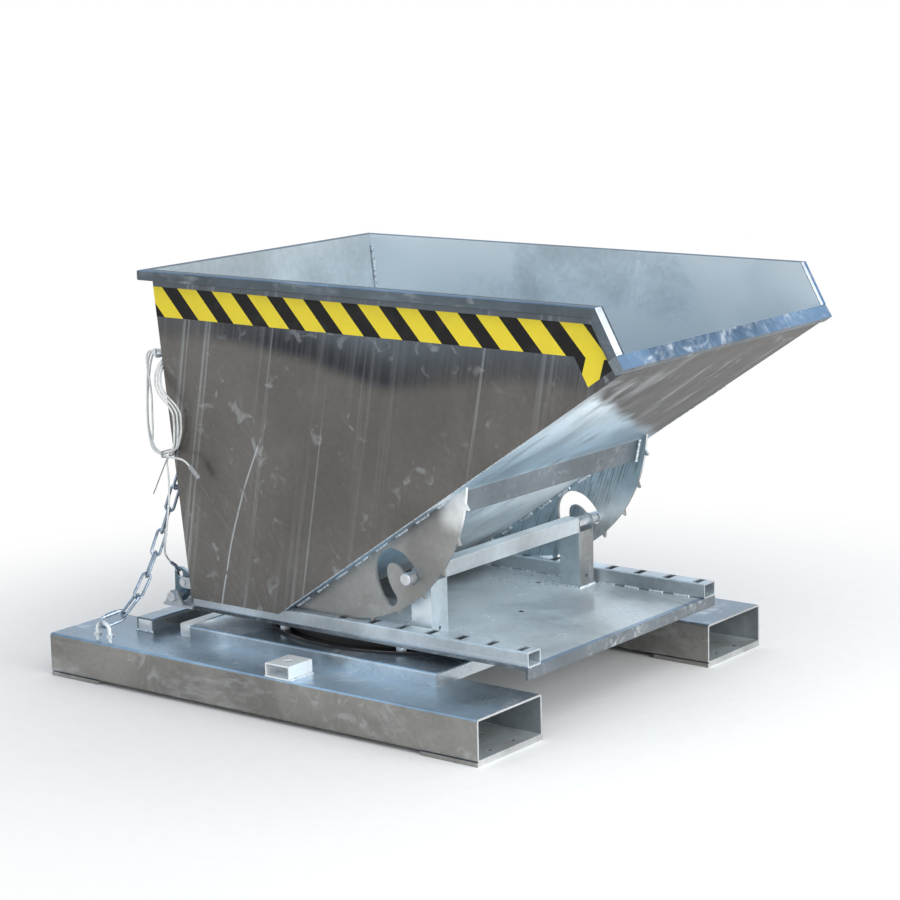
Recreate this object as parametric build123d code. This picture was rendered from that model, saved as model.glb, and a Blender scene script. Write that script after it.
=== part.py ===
from build123d import *
import os
from math import acos, ceil, cos, degrees, pi, radians, sin, sqrt, tan

# Self-tipping hopper on a turntable over two fork tubes. Millimetres, +Z up.
# X is the tipping direction, measured here from the turntable's axis; the near side is at -Y.
# The written parts are moved along X so that the origin is under the middle of the whole object.

# Fork tubes and feet
TUBE_WIDTH = 196.0
TUBE_HEIGHT = 80.0
TUBE_WALL = 4.0
TUBE_CORNER = 6.0
TUBE_REAR = -607.0
TUBE_FRONT = 470.0
TUBE_CENTRES = 764.0
FOOT_LENGTH = 130.0
FOOT_THICK = 8.0
DRAIN_HOLE = 10.0
DRAIN_INSET = 22.0
DRAIN_SPACING = 70.0

# Base pan and cross members on the tubes
PAN_REAR = -334.0
PAN_FRONT = 287.0
PAN_WIDTH = 720.0
PAN_HEIGHT = 27.0
PAN_SHEET = 5.0
PAN_BEND = 4.0
REAR_BAR_DEPTH = 33.0
REAR_BAR_LENGTH = 700.0
REAR_BAR_WALL = 3.0
REAR_BAR_GAP = 2.0
BEAM_DEPTH = 45.0
BEAM_LENGTH = 730.0
BEAM_HEIGHT = 28.0
BEAM_SHEET = 4.0
BEAM_SETBACK = 7.5
KEEPER_WIDTH = 60.0
KEEPER_LENGTH = 66.0
KEEPER_WALL = 3.0
KEEPER_CORNER = 3.0

# Slewing ring
RING_HEIGHT = 22.0
RING_INNER = 282.0
RING_FLANGE = 332.0
RING_FLANGE_THICK = 6.0
RING_UPSTAND = 8.0
RING_LIP = 300.0
RING_LIP_THICK = 4.0
RING_LIP_DROP = 2.0
RING_WALL = 7.5
RING_GAP = 0.1
RING_SIDE_GAP = 0.5
LINER_THICK = 2.0
BOLT_CIRCLE = 320.5
BOLT_ANGLES = (36, 63, 117, 144, 216, 243, 297, 324)
BOLT = 12.0
BOLT_FLATS = 19.0
BOLT_HEAD = 7.5
BOLT_NUT = 10.0
BOLT_TIP = 2.0
BOLT_HOLE_GAP = 0.5
NUT_GAP = 0.05

# Deck and rails
DECK_REAR = -360.0
DECK_FRONT = 465.0
DECK_WIDTH = 636.0
DECK_SHEET = 5.0
DECK_LIP = 22.0
DECK_HOLE = 10.0
DECK_HOLES = ((214.0, 5.0), (107.0, 211.0), (159.0, -199.0))
RAIL_WIDTH = 40.0
RAIL_HEIGHT = 30.0
RAIL_WALL = 3.0
RAIL_CORNER = 4.0

# Rolling gear: the toothed rockers roll in the notched rails while a pin guides their slot
ROCKER_RADIUS = 300.0
ROCKER_THICK = 6.0
ROLL_START = 20.0
ROLL_GAP = 0.3
TIP_RANGE = 68.0
SLOT_OVERRUN = 0.5
TOOTH_PITCH = 70.0
TOOTH_DEPTH = 9.0
TOOTH_BASE = 13.0
TOOTH_TIP = 7.0
TOOTH_ROOT = 3.0
TOOTH_END_MARGIN = 3.0
NOTCH_GAP = 2.0
NOTCH_LENGTH = 30.0
PIN = 24.0
PIN_AHEAD_SHARE = 17 / 30
PIN_RISE_SHARE = 1 / 6
PIN_RISE_BASE = 80.6
PIN_PROUD = 25.0
PIN_CHAMFER = 1.5
SLOT_GAP = 2.3
SLOT_STEPS = 6

# Uprights and their cross bar
UPRIGHT_AHEAD = 16.0
UPRIGHT_DEPTH = 48.0
UPRIGHT_WIDTH = 50.0
UPRIGHT_ROCKER_GAP = 27.0
UPRIGHT_SHEET = 4.0
WEB_BELOW_PIN = 14.6
EAR_ROUND = 24.0
EAR_BELOW_PIN = 8.6
EAR_MARGIN = 4.0
UPRIGHT_HOLE = 8.0
UPRIGHT_HOLE_RISE = 22.0
CROSS_LEG = 30.0
CROSS_ABOVE_PIN = 15.4
CROSS_SHEET = 4.0

# Hopper
WALL_SKIRT = 7.0
WALL_OUTER = 337.0
WALL_SHEET = 3.0
REAR_SHEET = 4.0
FLOOR_SHEET = 3.0
HOPPER_HEIGHT = 653.7
REAR_FOOT = -347.0
REAR_RUN = 71.3
FLAT_FRONT = -118.0
FLOOR_ANGLE = 33.756
LIP_X = 706.0
FRONT_RUN = 57.0
LIP_DEPTH = 20.0
LIP_HEIGHT = 27.0
LIP_WALL = 2.0
LIP_VENT = 8.0
LIP_VENT_INSET = 40.0
RIM = 20.0
RIM_WALL = 2.0
RIM_CORNER = 3.0
STIFFENER_ALONG = 505.0
STIFFENER_LEG = 45.0
STIFFENER_SHEET = 4.0
TAPE_THICK = 0.4
TAPE_WIDTH = 59.0
TAPE_DROP = 33.0
TAPE_FRONT_INSET = 36.0
TAPE_FRONT_WIDTH = 60.0
TAPE_FLOOR_INSET = 15.0

# Latch at the near rail's rear end, and the catch on the hopper
LATCH_X = -411.0
LATCH_RISE = 16.0
LATCH_THICK = 7.0
LATCH_BOSS = 15.0
LATCH_EYE_RISE = 42.0
LATCH_EYE = 14.0
LATCH_EYE_HOLE = 16.0
LATCH_NOSE_REACH = 46.0
LATCH_NOSE_ANGLE = 54.0
LATCH_NOSE = 6.5
LATCH_MOUTH = 70.0
CATCH_PIN = 12.0
CATCH_AHEAD = 16.0
CATCH_ABOVE = 27.0
CATCH_GAP = 0.7
CATCH_PROUD = 2.0
LUG_THICK = 6.0
LUG_GAP = 2.0
LUG_ROUND = 11.0
CHEEK_THICK = 5.0
CHEEK_GAP = 40.0
CHEEK_ROUND = 13.0
BRACKET_REAR = -440.0
BRACKET_FOOT = 25.0
RUN_GAP = 0.08
SIDE_GAP = 0.2
SPACER_WALL = 3.0

# Turntable lock
LOCK_RADIUS = 445.0
LOCK_PIN = 16.0
LOCK_HOLE_GAP = 0.7
LOCK_DIP = 18.0
LOCK_BRACKET = 60.0
LOCK_GUIDE_WALL = 5.0
LOCK_GUIDE_UP = 40.0
LOCK_GUIDE_DOWN = 16.0
LOCK_COLLAR = 24.0
LOCK_COLLAR_HEIGHT = 6.0
LOCK_PIN_UP = 32.0
LOCK_HANDLE = 10.0
LOCK_HANDLE_LENGTH = 80.0
LOCK_HANDLE_DROP = 9.0
LOCK_CHAMFER = 2.0

# Safety chain with its eye on the near tube and its hanger on the rear wall
EYE_X = -470.0
EYE_Y = -464.0
EYE_BAR = 8.0
EYE_SPAN = 34.0
EYE_RISE = 38.0
COLLAR_WALL = 4.0
COLLAR_HEIGHT = 5.0
COLLAR_RISE = 10.0
HANGER_INSET = 27.0
HANGER_RISE = 294.4
HANGER_STANDOFF = 22.0
HANGER_BAR = 8.0
HANGER_SPAN = 30.0
HANGER_BEND = 9.0
CHAIN_BAR = 6.0
LINK_LENGTH = 53.0
LINK_WIDTH = 17.5
LINK_PLAY = 0.8
EYE_PLAY = 1.0
CHAIN_SLACK = 1.02
CHAIN_LOW = 7.0
CHAIN_TOP = 69.0
CHAIN_EASE = 0.41
HOOK_LENGTH = 56.0
HOOK_WIDTH = 22.0
HOOK_GATE = 9.0
HOOK_GATE_LENGTH = 24.0

# Release cable: a coil on a bar hook behind the near rear corner, a tail and a lead to the latch
CABLE = 5.0
COIL_TURNS = 3
COIL_PITCH = 8.0
COIL_WALL_GAP = 3.5
COIL_FOOT = (-378.0, 459.0)
COIL_FRONT = (-350.0, 522.0)
COIL_FRONT_STEP = 2.0
COIL_CORNER = (-400.0, 608.0)
COIL_TOP = (-424.0, 652.0)
COIL_TOP_INSET = 41.0
COIL_TOP_PITCH = 11.0
COIL_BACK = (-467.0, 527.0)
COIL_BACK_INSET = 24.0
COIL_BACK_STEP = 7.0
COIL_START_RISE = 0.75
COIL_FOOT_RISE = 0.12
COIL_CORNER_HEADING = (-0.38, 0.5, 0.78)
COIL_HANG_GAP = 0.3
CABLE_HOOK_BAR = 8.0
CABLE_HOOK_BEND = 8.0
CABLE_HOOK_ROOT = 16.0
CABLE_HOOK_END = 8.0
CABLE_HOOK_TIP = 16.0
TAIL_END = (-313.0, -362.0, 441.0)
TAIL_HEADING = (17.0, 4.0, -20.0)
SLEEVE = 9.0
SLEEVE_LENGTH = 30.0
TIE_WIDTH = 5.0
TIE_THICK = 1.5
TIE_GAP = 3.0
TIE_SIDE_GAP = 0.7
TIE_STRAP_END = (-421.0, -356.0, 373.0)
TIE_STRAP = 2.5
SHACKLE_BAR = 3.0
SHACKLE_WIDTH = 11.0
SHACKLE_BEND = 2.5
SHACKLE_LEAN = 45.0
FERRULE = 7.0
FERRULE_LENGTH = 14.0
FERRULE_HEADING = (-0.2, -0.75, 0.63)
LEAD_START = 21.0
LEAD_END = 24.0
LEAD_POINTS = (
    (-389.0, -344.0, 418.0),
    (-388.0, -345.0, 385.0),
    (-391.0, -346.0, 345.0),
    (-398.0, -347.0, 303.0),
    (-404.0, -345.0, 262.0),
)

# Levels, from the floor up
TUBE_Y = TUBE_CENTRES / 2
Z_TUBE = FOOT_THICK + TUBE_HEIGHT
Z_PAN = Z_TUBE + PAN_HEIGHT
Z_RING = Z_PAN + RING_HEIGHT
Z_DECK = Z_RING + DECK_SHEET
Z_RAIL = Z_DECK + RAIL_HEIGHT
Z_FLOOR = Z_RAIL + ROLL_GAP
Z_CENTRE = Z_FLOOR + ROCKER_RADIUS
Z_WALL = Z_FLOOR - WALL_SKIRT
Z_RIM = Z_WALL + HOPPER_HEIGHT
MID_X = (LIP_X + TUBE_REAR) / 2

# Places that follow the rails and the rockers
RAIL_Y = DECK_WIDTH / 2 - RAIL_WIDTH / 2
LATCH_Y = -RAIL_Y
HANGER_Y = LATCH_Y + HANGER_INSET
PIN_X = ROLL_START + PIN_AHEAD_SHARE * ROCKER_RADIUS
Z_PIN = Z_DECK + PIN_RISE_BASE + PIN_RISE_SHARE * ROCKER_RADIUS
PIN_END = RAIL_Y + ROCKER_THICK / 2 + PIN_PROUD
UPRIGHT_FRONT = PIN_X + UPRIGHT_AHEAD
UPRIGHT_OUTER = RAIL_Y - ROCKER_THICK / 2 - UPRIGHT_ROCKER_GAP
UPRIGHT_INNER = UPRIGHT_OUTER - UPRIGHT_WIDTH

# Directions along the sloped floor and square to it, as (x, z)
SLOPE = (cos(radians(FLOOR_ANGLE)), sin(radians(FLOOR_ANGLE)))
SQUARE = (-SLOPE[1], SLOPE[0])
REAR_LEAN = REAR_RUN / HOPPER_HEIGHT
WALL_INNER = WALL_OUTER - WALL_SHEET


def step(point, *moves):
    """Moves an (x, z) point by lengths along (x, z) directions."""
    x, z = point
    for direction, length in moves:
        x = x + direction[0] * length
        z = z + direction[1] * length
    return (x, z)


def meet(p, d, q, e):
    """Crossing of two lines in the (x, z) plane, each a point and a direction."""
    cross = d[0] * e[1] - d[1] * e[0]
    along = ((q[0] - p[0]) * e[1] - (q[1] - p[1]) * e[0]) / cross
    return step(p, (d, along))


def rear_x(z):
    """Outer face of the leaning rear wall at a height."""
    return REAR_FOOT - REAR_LEAN * (z - Z_WALL)


def box(x0, x1, y0, y1, z0, z1):
    """Block between two corners."""
    centre = Pos((x0 + x1) / 2, (y0 + y1) / 2, (z0 + z1) / 2)
    return centre * Box(x1 - x0, y1 - y0, z1 - z0)


def face(*points):
    """Flat face inside a closed run of points."""
    return make_face(Polyline(*points, close=True))


def disc(point, radius):
    """Round face about an (x, z) point."""
    return Pos(*point) * Circle(radius)


def plate(sketch, y0, y1):
    """Plate drawn in X and Z and standing between two Y planes."""
    plane = Plane((0, y1, 0), x_dir=(1, 0, 0), z_dir=(0, -1, 0))
    return extrude(plane * sketch, y1 - y0)


def rod(start, end, diameter):
    """Round bar between two points."""
    run = Vector(*end) - Vector(*start)
    return extrude(Plane(origin=start, z_dir=run) * Circle(diameter / 2), run.length)


def hexagon(start, heading, flats, height):
    """Hexagonal head or nut that stands on a point."""
    plane = Plane(origin=start, z_dir=heading)
    return extrude(plane * RegularPolygon(flats / 2, 6, major_radius=False), height)


def ring(r0, r1, z0, z1):
    """Flat ring about the turntable's axis."""
    return revolve(Plane.XZ * face((r0, z0), (r1, z0), (r1, z1), (r0, z1)), Axis.Z)


def tube_section(width, height, wall, corner):
    """Section of a rectangular tube with rounded corners."""
    inner = max(corner - wall, wall / 4)
    hole = RectangleRounded(width - 2 * wall, height - 2 * wall, inner)
    return RectangleRounded(width, height, corner) - hole


def tube_x(x0, x1, y, z, width, height, wall, corner):
    """Rectangular tube along X."""
    plane = Plane((x0, y, z), x_dir=(0, 1, 0), z_dir=(1, 0, 0))
    return extrude(plane * tube_section(width, height, wall, corner), x1 - x0)


def tube_y(y0, y1, x, z, width, height, wall, corner):
    """Rectangular tube along Y."""
    plane = Plane((x, y0, z), x_dir=(-1, 0, 0), z_dir=(0, 1, 0))
    return extrude(plane * tube_section(width, height, wall, corner), y1 - y0)


def bent_bar(points, bend, diameter):
    """Round bar along straight runs with one bend radius."""
    path = FilletPolyline(*points, radius=bend)
    return sweep(Plane(origin=path @ 0, z_dir=path % 0) * Circle(diameter / 2), path=path)


def far(shape):
    """The same piece on the far side."""
    return mirror(shape, about=Plane.XZ)


def put(node, *solids):
    """Writes one node, as one solid or as a group of them."""
    shape = solids[0] if len(solids) == 1 else Compound(list(solids))
    export_step(Pos(-MID_X, 0, 0) * shape, f"parts/{node}.step")


def put_pair(name, near):
    """Writes a near piece and its mirror image."""
    put(f"{name}_near", near)
    put(f"{name}_far", far(near))


# Fork tubes, open at both ends, with drain holes over the front feet
tube = tube_x(TUBE_REAR, TUBE_FRONT, -TUBE_Y, FOOT_THICK + TUBE_HEIGHT / 2,
              TUBE_WIDTH, TUBE_HEIGHT, TUBE_WALL, TUBE_CORNER)
for side in (-1, 1):
    drain = (TUBE_FRONT - DRAIN_INSET, -TUBE_Y + side * DRAIN_SPACING / 2)
    tube = tube - rod((*drain, 0), (*drain, TUBE_HEIGHT / 2), DRAIN_HOLE)
put_pair("fork_tube", tube)

feet = []
for y in (-TUBE_Y, TUBE_Y):
    for x in (TUBE_REAR, TUBE_FRONT - FOOT_LENGTH):
        feet.append(box(x, x + FOOT_LENGTH, y - TUBE_WIDTH / 2, y + TUBE_WIDTH / 2, 0, FOOT_THICK))
put("foot_plates", *feet)

# Base pan: one sheet with its front and side edges folded down onto the tubes
pan = box(PAN_REAR, PAN_FRONT, -PAN_WIDTH / 2, PAN_WIDTH / 2, Z_TUBE, Z_PAN)
folded = [edge for edge in pan.edges().group_by(Axis.Z)[-1] if edge.center().X > PAN_REAR + PAN_SHEET]
pan = fillet(folded, PAN_BEND)
pan = pan - box(PAN_REAR - PAN_SHEET, PAN_FRONT - PAN_SHEET, PAN_SHEET - PAN_WIDTH / 2,
                PAN_WIDTH / 2 - PAN_SHEET, Z_TUBE - PAN_SHEET, Z_PAN - PAN_SHEET)

# Slewing ring: the lower ring's lip holds the upper ring's foot down on a liner
z_flange = Z_PAN + RING_FLANGE_THICK
z_liner = z_flange + LINER_THICK
z_lip_top = Z_RING - RING_LIP_DROP
z_lip = z_lip_top - RING_LIP_THICK
upstand = RING_INNER + RING_UPSTAND
wall_in = RING_LIP + RING_SIDE_GAP
wall_out = wall_in + RING_WALL
ring_lower = revolve(Plane.XZ * face(
    (RING_INNER, Z_PAN), (RING_FLANGE, Z_PAN), (RING_FLANGE, z_flange), (upstand, z_flange),
    (upstand, z_lip), (RING_LIP, z_lip), (RING_LIP, z_lip_top), (RING_INNER, z_lip_top)), Axis.Z)
foot_in = upstand + RING_SIDE_GAP
foot_top = z_lip - RING_GAP
ring_upper = revolve(Plane.XZ * face(
    (foot_in, z_liner + RING_GAP), (wall_out, z_liner + RING_GAP), (wall_out, Z_RING),
    (wall_in, Z_RING), (wall_in, foot_top), (foot_in, foot_top)), Axis.Z)
ring_bolts = []
for angle in BOLT_ANGLES:
    x = BOLT_CIRCLE * cos(radians(angle))
    y = BOLT_CIRCLE * sin(radians(angle))
    hole = rod((x, y, Z_TUBE), (x, y, Z_RING), BOLT + 2 * BOLT_HOLE_GAP)
    pan = pan - hole
    ring_lower = ring_lower - hole
    z_nut = Z_PAN - PAN_SHEET - BOLT_NUT
    shank = rod((x, y, z_nut - BOLT_TIP), (x, y, z_flange), BOLT)
    ring_bolts.append(shank + hexagon((x, y, z_flange), (0, 0, 1), BOLT_FLATS, BOLT_HEAD))
    nut = hexagon((x, y, z_nut), (0, 0, 1), BOLT_FLATS, BOLT_NUT)
    ring_bolts.append(nut - rod((x, y, z_nut - 1), (x, y, Z_PAN), BOLT + 2 * NUT_GAP))
put("base_pan", pan)
put("ring_lower", ring_lower)
put("ring_upper", ring_upper)
put("ring_liner", ring(foot_in, wall_out, z_flange, z_liner))
put("ring_bolts", *ring_bolts)

# Cross members behind the pan: a bar of tube and a beam that keeps the lock pin
bar_front = PAN_REAR - REAR_BAR_GAP
put("rear_cross_bar", tube_y(-REAR_BAR_LENGTH / 2, REAR_BAR_LENGTH / 2, bar_front - REAR_BAR_DEPTH / 2,
                             Z_TUBE + PAN_HEIGHT / 2, REAR_BAR_DEPTH, PAN_HEIGHT, REAR_BAR_WALL, RAIL_CORNER))
beam_x = -LOCK_RADIUS - BEAM_SETBACK
lock_hole = LOCK_PIN + 2 * LOCK_HOLE_GAP
beam = box(beam_x - BEAM_DEPTH / 2, beam_x + BEAM_DEPTH / 2, -BEAM_LENGTH / 2, BEAM_LENGTH / 2,
           Z_TUBE, Z_TUBE + BEAM_HEIGHT)
long_edges = beam.edges().filter_by(Axis.Y).group_by(Axis.Z)[-1]
beam = fillet(long_edges, BEAM_SHEET)
beam = beam - box(beam_x - BEAM_DEPTH / 2 + BEAM_SHEET, beam_x + BEAM_DEPTH / 2 - BEAM_SHEET,
                  -BEAM_LENGTH / 2 - 1, BEAM_LENGTH / 2 + 1, Z_TUBE - 1, Z_TUBE + BEAM_HEIGHT - BEAM_SHEET)
put("rear_beam", beam - rod((-LOCK_RADIUS, 0, Z_TUBE), (-LOCK_RADIUS, 0, Z_RING), lock_hole))
keeper = tube_y(-LOCK_RADIUS - KEEPER_LENGTH / 2, -LOCK_RADIUS + KEEPER_LENGTH / 2, 0,
                Z_TUBE + BEAM_HEIGHT / 2, KEEPER_WIDTH, BEAM_HEIGHT, KEEPER_WALL, KEEPER_CORNER)
keeper = keeper - rod((0, -LOCK_RADIUS, Z_TUBE + BEAM_HEIGHT / 2), (0, -LOCK_RADIUS, Z_RING), lock_hole)
put("lock_keepers", keeper, far(keeper))

# Deck with its front edge turned down
deck = box(DECK_REAR, DECK_FRONT, -DECK_WIDTH / 2, DECK_WIDTH / 2, Z_RING, Z_DECK)
deck = deck + box(DECK_FRONT - DECK_SHEET, DECK_FRONT, -DECK_WIDTH / 2, DECK_WIDTH / 2,
                  Z_DECK - DECK_LIP, Z_RING)
for x, y in DECK_HOLES:
    half = DECK_HOLE / 2
    deck = deck - box(x - half, x + half, y - half, y + half, Z_RING - 1, Z_DECK + 1)
put("deck_plate", deck)

# Rocker outline: the floor's underside, a flat, and the rolling arc up to the floor again
centre = (ROLL_START, Z_CENTRE)
wall_foot = (FLAT_FRONT, Z_WALL)
flat_end = meet(wall_foot, SLOPE, (0, Z_FLOOR), (1, 0))
gap_x = wall_foot[0] - centre[0]
gap_z = wall_foot[1] - centre[1]
middle = gap_x * SLOPE[0] + gap_z * SLOPE[1]
reach = sqrt(middle ** 2 - gap_x ** 2 - gap_z ** 2 + ROCKER_RADIUS ** 2) - middle
arc_end = step(wall_foot, (SLOPE, reach))
arc_angle = acos((centre[1] - arc_end[1]) / ROCKER_RADIUS)


def on_rocker(angle, radius):
    """Point of the rocker at an angle from straight down, ahead of the rolling start."""
    return step(centre, ((sin(angle), -cos(angle)), radius))


def pin_path(angle):
    """Guide pin's place in the hopper when the hopper has rolled through an angle."""
    ahead = PIN_X - ROLL_START - ROCKER_RADIUS * angle
    above = Z_PIN - Z_CENTRE
    return step(centre, ((cos(angle), sin(angle)), ahead), ((-sin(angle), cos(angle)), above))


def pin_heading(angle):
    """Direction of the guide pin's path in the hopper."""
    small = 1e-4
    x0, z0 = pin_path(angle - small)
    x1, z1 = pin_path(angle + small)
    length = sqrt((x1 - x0) ** 2 + (z1 - z0) ** 2)
    return ((x1 - x0) / length, (z1 - z0) / length)


def slot_side(angle, side):
    """Point of the slot's edge on one side of the pin's path."""
    along = pin_heading(angle)
    return step(pin_path(angle), ((-along[1], along[0]), side * (PIN / 2 + SLOT_GAP)))


def slot_face():
    """Curved slot that the guide pin sweeps, with round ends."""
    last = radians(TIP_RANGE + SLOT_OVERRUN)
    angles = [last * i / (2 * SLOT_STEPS) for i in range(2 * SLOT_STEPS + 1)]
    edges = []
    for side in (-1, 1):
        for i in range(0, 2 * SLOT_STEPS, 2):
            edges.append(ThreePointArc(*[slot_side(a, side) for a in angles[i:i + 3]]))
    for angle, sign in ((0, -1), (last, 1)):
        cap = step(pin_path(angle), (pin_heading(angle), sign * (PIN / 2 + SLOT_GAP)))
        edges.append(ThreePointArc(slot_side(angle, -1), cap, slot_side(angle, 1)))
    return make_face(edges)


pitch_angle = TOOTH_PITCH / ROCKER_RADIUS
teeth = 1 + int((arc_angle - radians(TOOTH_END_MARGIN)) / pitch_angle)
start = on_rocker(0, ROCKER_RADIUS)
rocker = make_face([
    Line(flat_end, start), ThreePointArc(start, on_rocker(arc_angle / 2, ROCKER_RADIUS), arc_end),
    Line(arc_end, flat_end)])
for k in range(teeth):
    base = TOOTH_BASE / 2 / ROCKER_RADIUS
    tip = TOOTH_TIP / 2 / ROCKER_RADIUS
    low = ROCKER_RADIUS - TOOTH_ROOT
    high = ROCKER_RADIUS + TOOTH_DEPTH
    turn = k * pitch_angle
    rocker = rocker + face(on_rocker(turn - base, low), on_rocker(turn + base, low),
                           on_rocker(turn + tip, high), on_rocker(turn - tip, high))
rocker = plate(rocker - slot_face(), -RAIL_Y - ROCKER_THICK / 2, -RAIL_Y + ROCKER_THICK / 2)
put_pair("rocker", rocker)

# Rails with a notch for each tooth in the top wall
rail = tube_x(DECK_REAR, DECK_FRONT, -RAIL_Y, Z_DECK + RAIL_HEIGHT / 2,
              RAIL_WIDTH, RAIL_HEIGHT, RAIL_WALL, RAIL_CORNER)
for k in range(teeth):
    x = ROLL_START + k * TOOTH_PITCH
    half = TOOTH_BASE / 2 + NOTCH_GAP
    rail = rail - box(x - half, x + half, -RAIL_Y - NOTCH_LENGTH / 2, -RAIL_Y + NOTCH_LENGTH / 2,
                      Z_RAIL - 2 * RAIL_WALL, Z_RAIL + 1)
put_pair("rail", rail)

# Uprights: channels open to the rear; both flanges rise in round ears that carry the guide pin
upright_rear = UPRIGHT_FRONT - UPRIGHT_DEPTH
web_back = UPRIGHT_FRONT - UPRIGHT_SHEET
flange = make_hull([*disc((PIN_X, Z_PIN), PIN / 2 + EAR_MARGIN).edges(),
                    *disc((upright_rear + EAR_ROUND, Z_PIN - EAR_BELOW_PIN), EAR_ROUND).edges(),
                    Line((upright_rear, Z_DECK), (UPRIGHT_FRONT, Z_DECK))])
flange = flange - disc((PIN_X, Z_PIN), PIN / 2 + NUT_GAP)
upright = plate(flange, -UPRIGHT_OUTER, UPRIGHT_SHEET - UPRIGHT_OUTER)
upright = upright + plate(flange, -UPRIGHT_INNER - UPRIGHT_SHEET, -UPRIGHT_INNER)
upright = upright + box(web_back, UPRIGHT_FRONT, UPRIGHT_SHEET - UPRIGHT_OUTER,
                        -UPRIGHT_INNER - UPRIGHT_SHEET, Z_DECK, Z_PIN - WEB_BELOW_PIN)
web_y = -(UPRIGHT_INNER + UPRIGHT_OUTER) / 2
web_z = Z_DECK + UPRIGHT_HOLE_RISE
hole = rod((web_back - 1, web_y, web_z), (UPRIGHT_FRONT + 1, web_y, web_z), UPRIGHT_HOLE)
put_pair("upright", upright - hole)
pin = rod((PIN_X, -UPRIGHT_INNER, Z_PIN), (PIN_X, -PIN_END, Z_PIN), PIN)
put_pair("tilt_pin", chamfer(pin.faces().sort_by(Axis.Y)[0].edges(), PIN_CHAMFER))
z_cross = Z_PIN + CROSS_ABOVE_PIN
cross = box(UPRIGHT_FRONT - CROSS_LEG, UPRIGHT_FRONT, -UPRIGHT_INNER, UPRIGHT_INNER,
            z_cross - CROSS_LEG, z_cross)
cross = cross - box(UPRIGHT_FRONT - CROSS_LEG - 1, web_back, -UPRIGHT_INNER - 1, UPRIGHT_INNER + 1,
                    z_cross - CROSS_LEG - 1, z_cross - CROSS_SHEET)
put("cross_bar", fillet(cross.edges().filter_by(Axis.Y).sort_by_distance(
    (UPRIGHT_FRONT, 0, z_cross))[0], CROSS_SHEET - 1))

# Hopper sheets: the front edge leans back from the lip, and the lip tube closes the floor's end
rear_top = (rear_x(Z_RIM), Z_RIM)
rear_foot = (REAR_FOOT, Z_WALL)
lip_low = meet(wall_foot, SLOPE, (LIP_X, 0), (0, 1))
front_top = (LIP_X - FRONT_RUN, Z_RIM)
front_length = sqrt(FRONT_RUN ** 2 + (Z_RIM - lip_low[1]) ** 2)
FRONT = (-FRONT_RUN / front_length, (Z_RIM - lip_low[1]) / front_length)
INWARD = (-FRONT[1], FRONT[0])
lip_back = step(lip_low, (SLOPE, -LIP_DEPTH))
lip_top = step(lip_back, (SQUARE, LIP_HEIGHT))
lip_front_top = step(lip_low, (SQUARE, LIP_HEIGHT))
wall_front = meet(lip_top, SLOPE, lip_low, FRONT)
wall = plate(face(rear_top, rear_foot, wall_foot, lip_back, lip_top, wall_front, front_top),
             -WALL_OUTER, -WALL_INNER)
put_pair("side_wall", wall)

rear_shift = REAR_SHEET * sqrt(1 + REAR_LEAN ** 2)
rear_wall = plate(face((rear_x(Z_FLOOR), Z_FLOOR), (rear_x(Z_FLOOR) + rear_shift, Z_FLOOR),
                       (rear_x(Z_RIM) + rear_shift, Z_RIM), (rear_x(Z_RIM), Z_RIM)), -WALL_INNER, WALL_INNER)
put("rear_wall", rear_wall)

z_sheet = Z_FLOOR + FLOOR_SHEET
floor_bend = meet(step(wall_foot, (SQUARE, FLOOR_SHEET)), SLOPE, (0, z_sheet), (1, 0))
floor_sheet = plate(face(
    (rear_x(Z_FLOOR) + rear_shift, Z_FLOOR), flat_end, lip_back, step(lip_back, (SQUARE, FLOOR_SHEET)),
    floor_bend, (rear_x(z_sheet) + rear_shift, z_sheet)), -WALL_INNER, WALL_INNER)
put("floor_sheet", floor_sheet)

# Front lip: a closed tube across the whole width with vent holes in its underside
rim_outer = WALL_OUTER + RIM
inset = LIP_WALL
lip = plate(face(lip_back, lip_low, lip_front_top, lip_top), -rim_outer, rim_outer)
hollow_low = step(lip_back, (SLOPE, inset), (SQUARE, inset))
hollow_front = step(lip_low, (SLOPE, -inset), (SQUARE, inset))
rise = LIP_HEIGHT - 2 * inset
lip = lip - plate(face(hollow_low, hollow_front, step(hollow_front, (SQUARE, rise)),
                       step(hollow_low, (SQUARE, rise))), inset - rim_outer, rim_outer - inset)
vent_in = step(lip_low, (SLOPE, -LIP_DEPTH / 2), (SQUARE, LIP_HEIGHT / 2))
vent_out = step(lip_low, (SLOPE, -LIP_DEPTH / 2), (SQUARE, -1))
for side in (-1, 1):
    y = side * (rim_outer - LIP_VENT_INSET)
    lip = lip - rod((vent_in[0], y, vent_in[1]), (vent_out[0], y, vent_out[1]), LIP_VENT)
put("front_lip", lip)

# Rim tubes outside the walls, mitred at the rear corners and at the bend over the front edge
rim_y = -WALL_OUTER - RIM / 2
rim_z = Z_RIM - RIM / 2
rim_back = rear_x(Z_RIM)
rim_bend = meet((0, rim_z), (1, 0), step(front_top, (INWARD, RIM / 2)), FRONT)
rim_low = step(rim_bend, (FRONT, -2 * front_length))
rim_section = tube_section(RIM, RIM, RIM_WALL, RIM_CORNER)
rim_path = Polyline((rim_back - 2 * RIM, rim_y, rim_z), (rim_bend[0], rim_y, rim_bend[1]),
                    (rim_low[0], rim_y, rim_low[1]))
rim_plane = Plane(rim_path @ 0, x_dir=(0, 1, 0), z_dir=(1, 0, 0))
rim = sweep(rim_plane * rim_section, path=rim_path, transition=Transition.RIGHT)
over_lip = Plane((lip_top[0], 0, lip_top[1]), x_dir=(0, 1, 0), z_dir=(SQUARE[0], 0, SQUARE[1]))
rim = split(rim, bisect_by=over_lip, keep=Keep.TOP)
near_mitre = Plane((rim_back, -WALL_OUTER, rim_z), x_dir=(0, 0, 1), z_dir=(1, -1, 0))
put_pair("rim", split(rim, bisect_by=near_mitre, keep=Keep.TOP))
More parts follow.
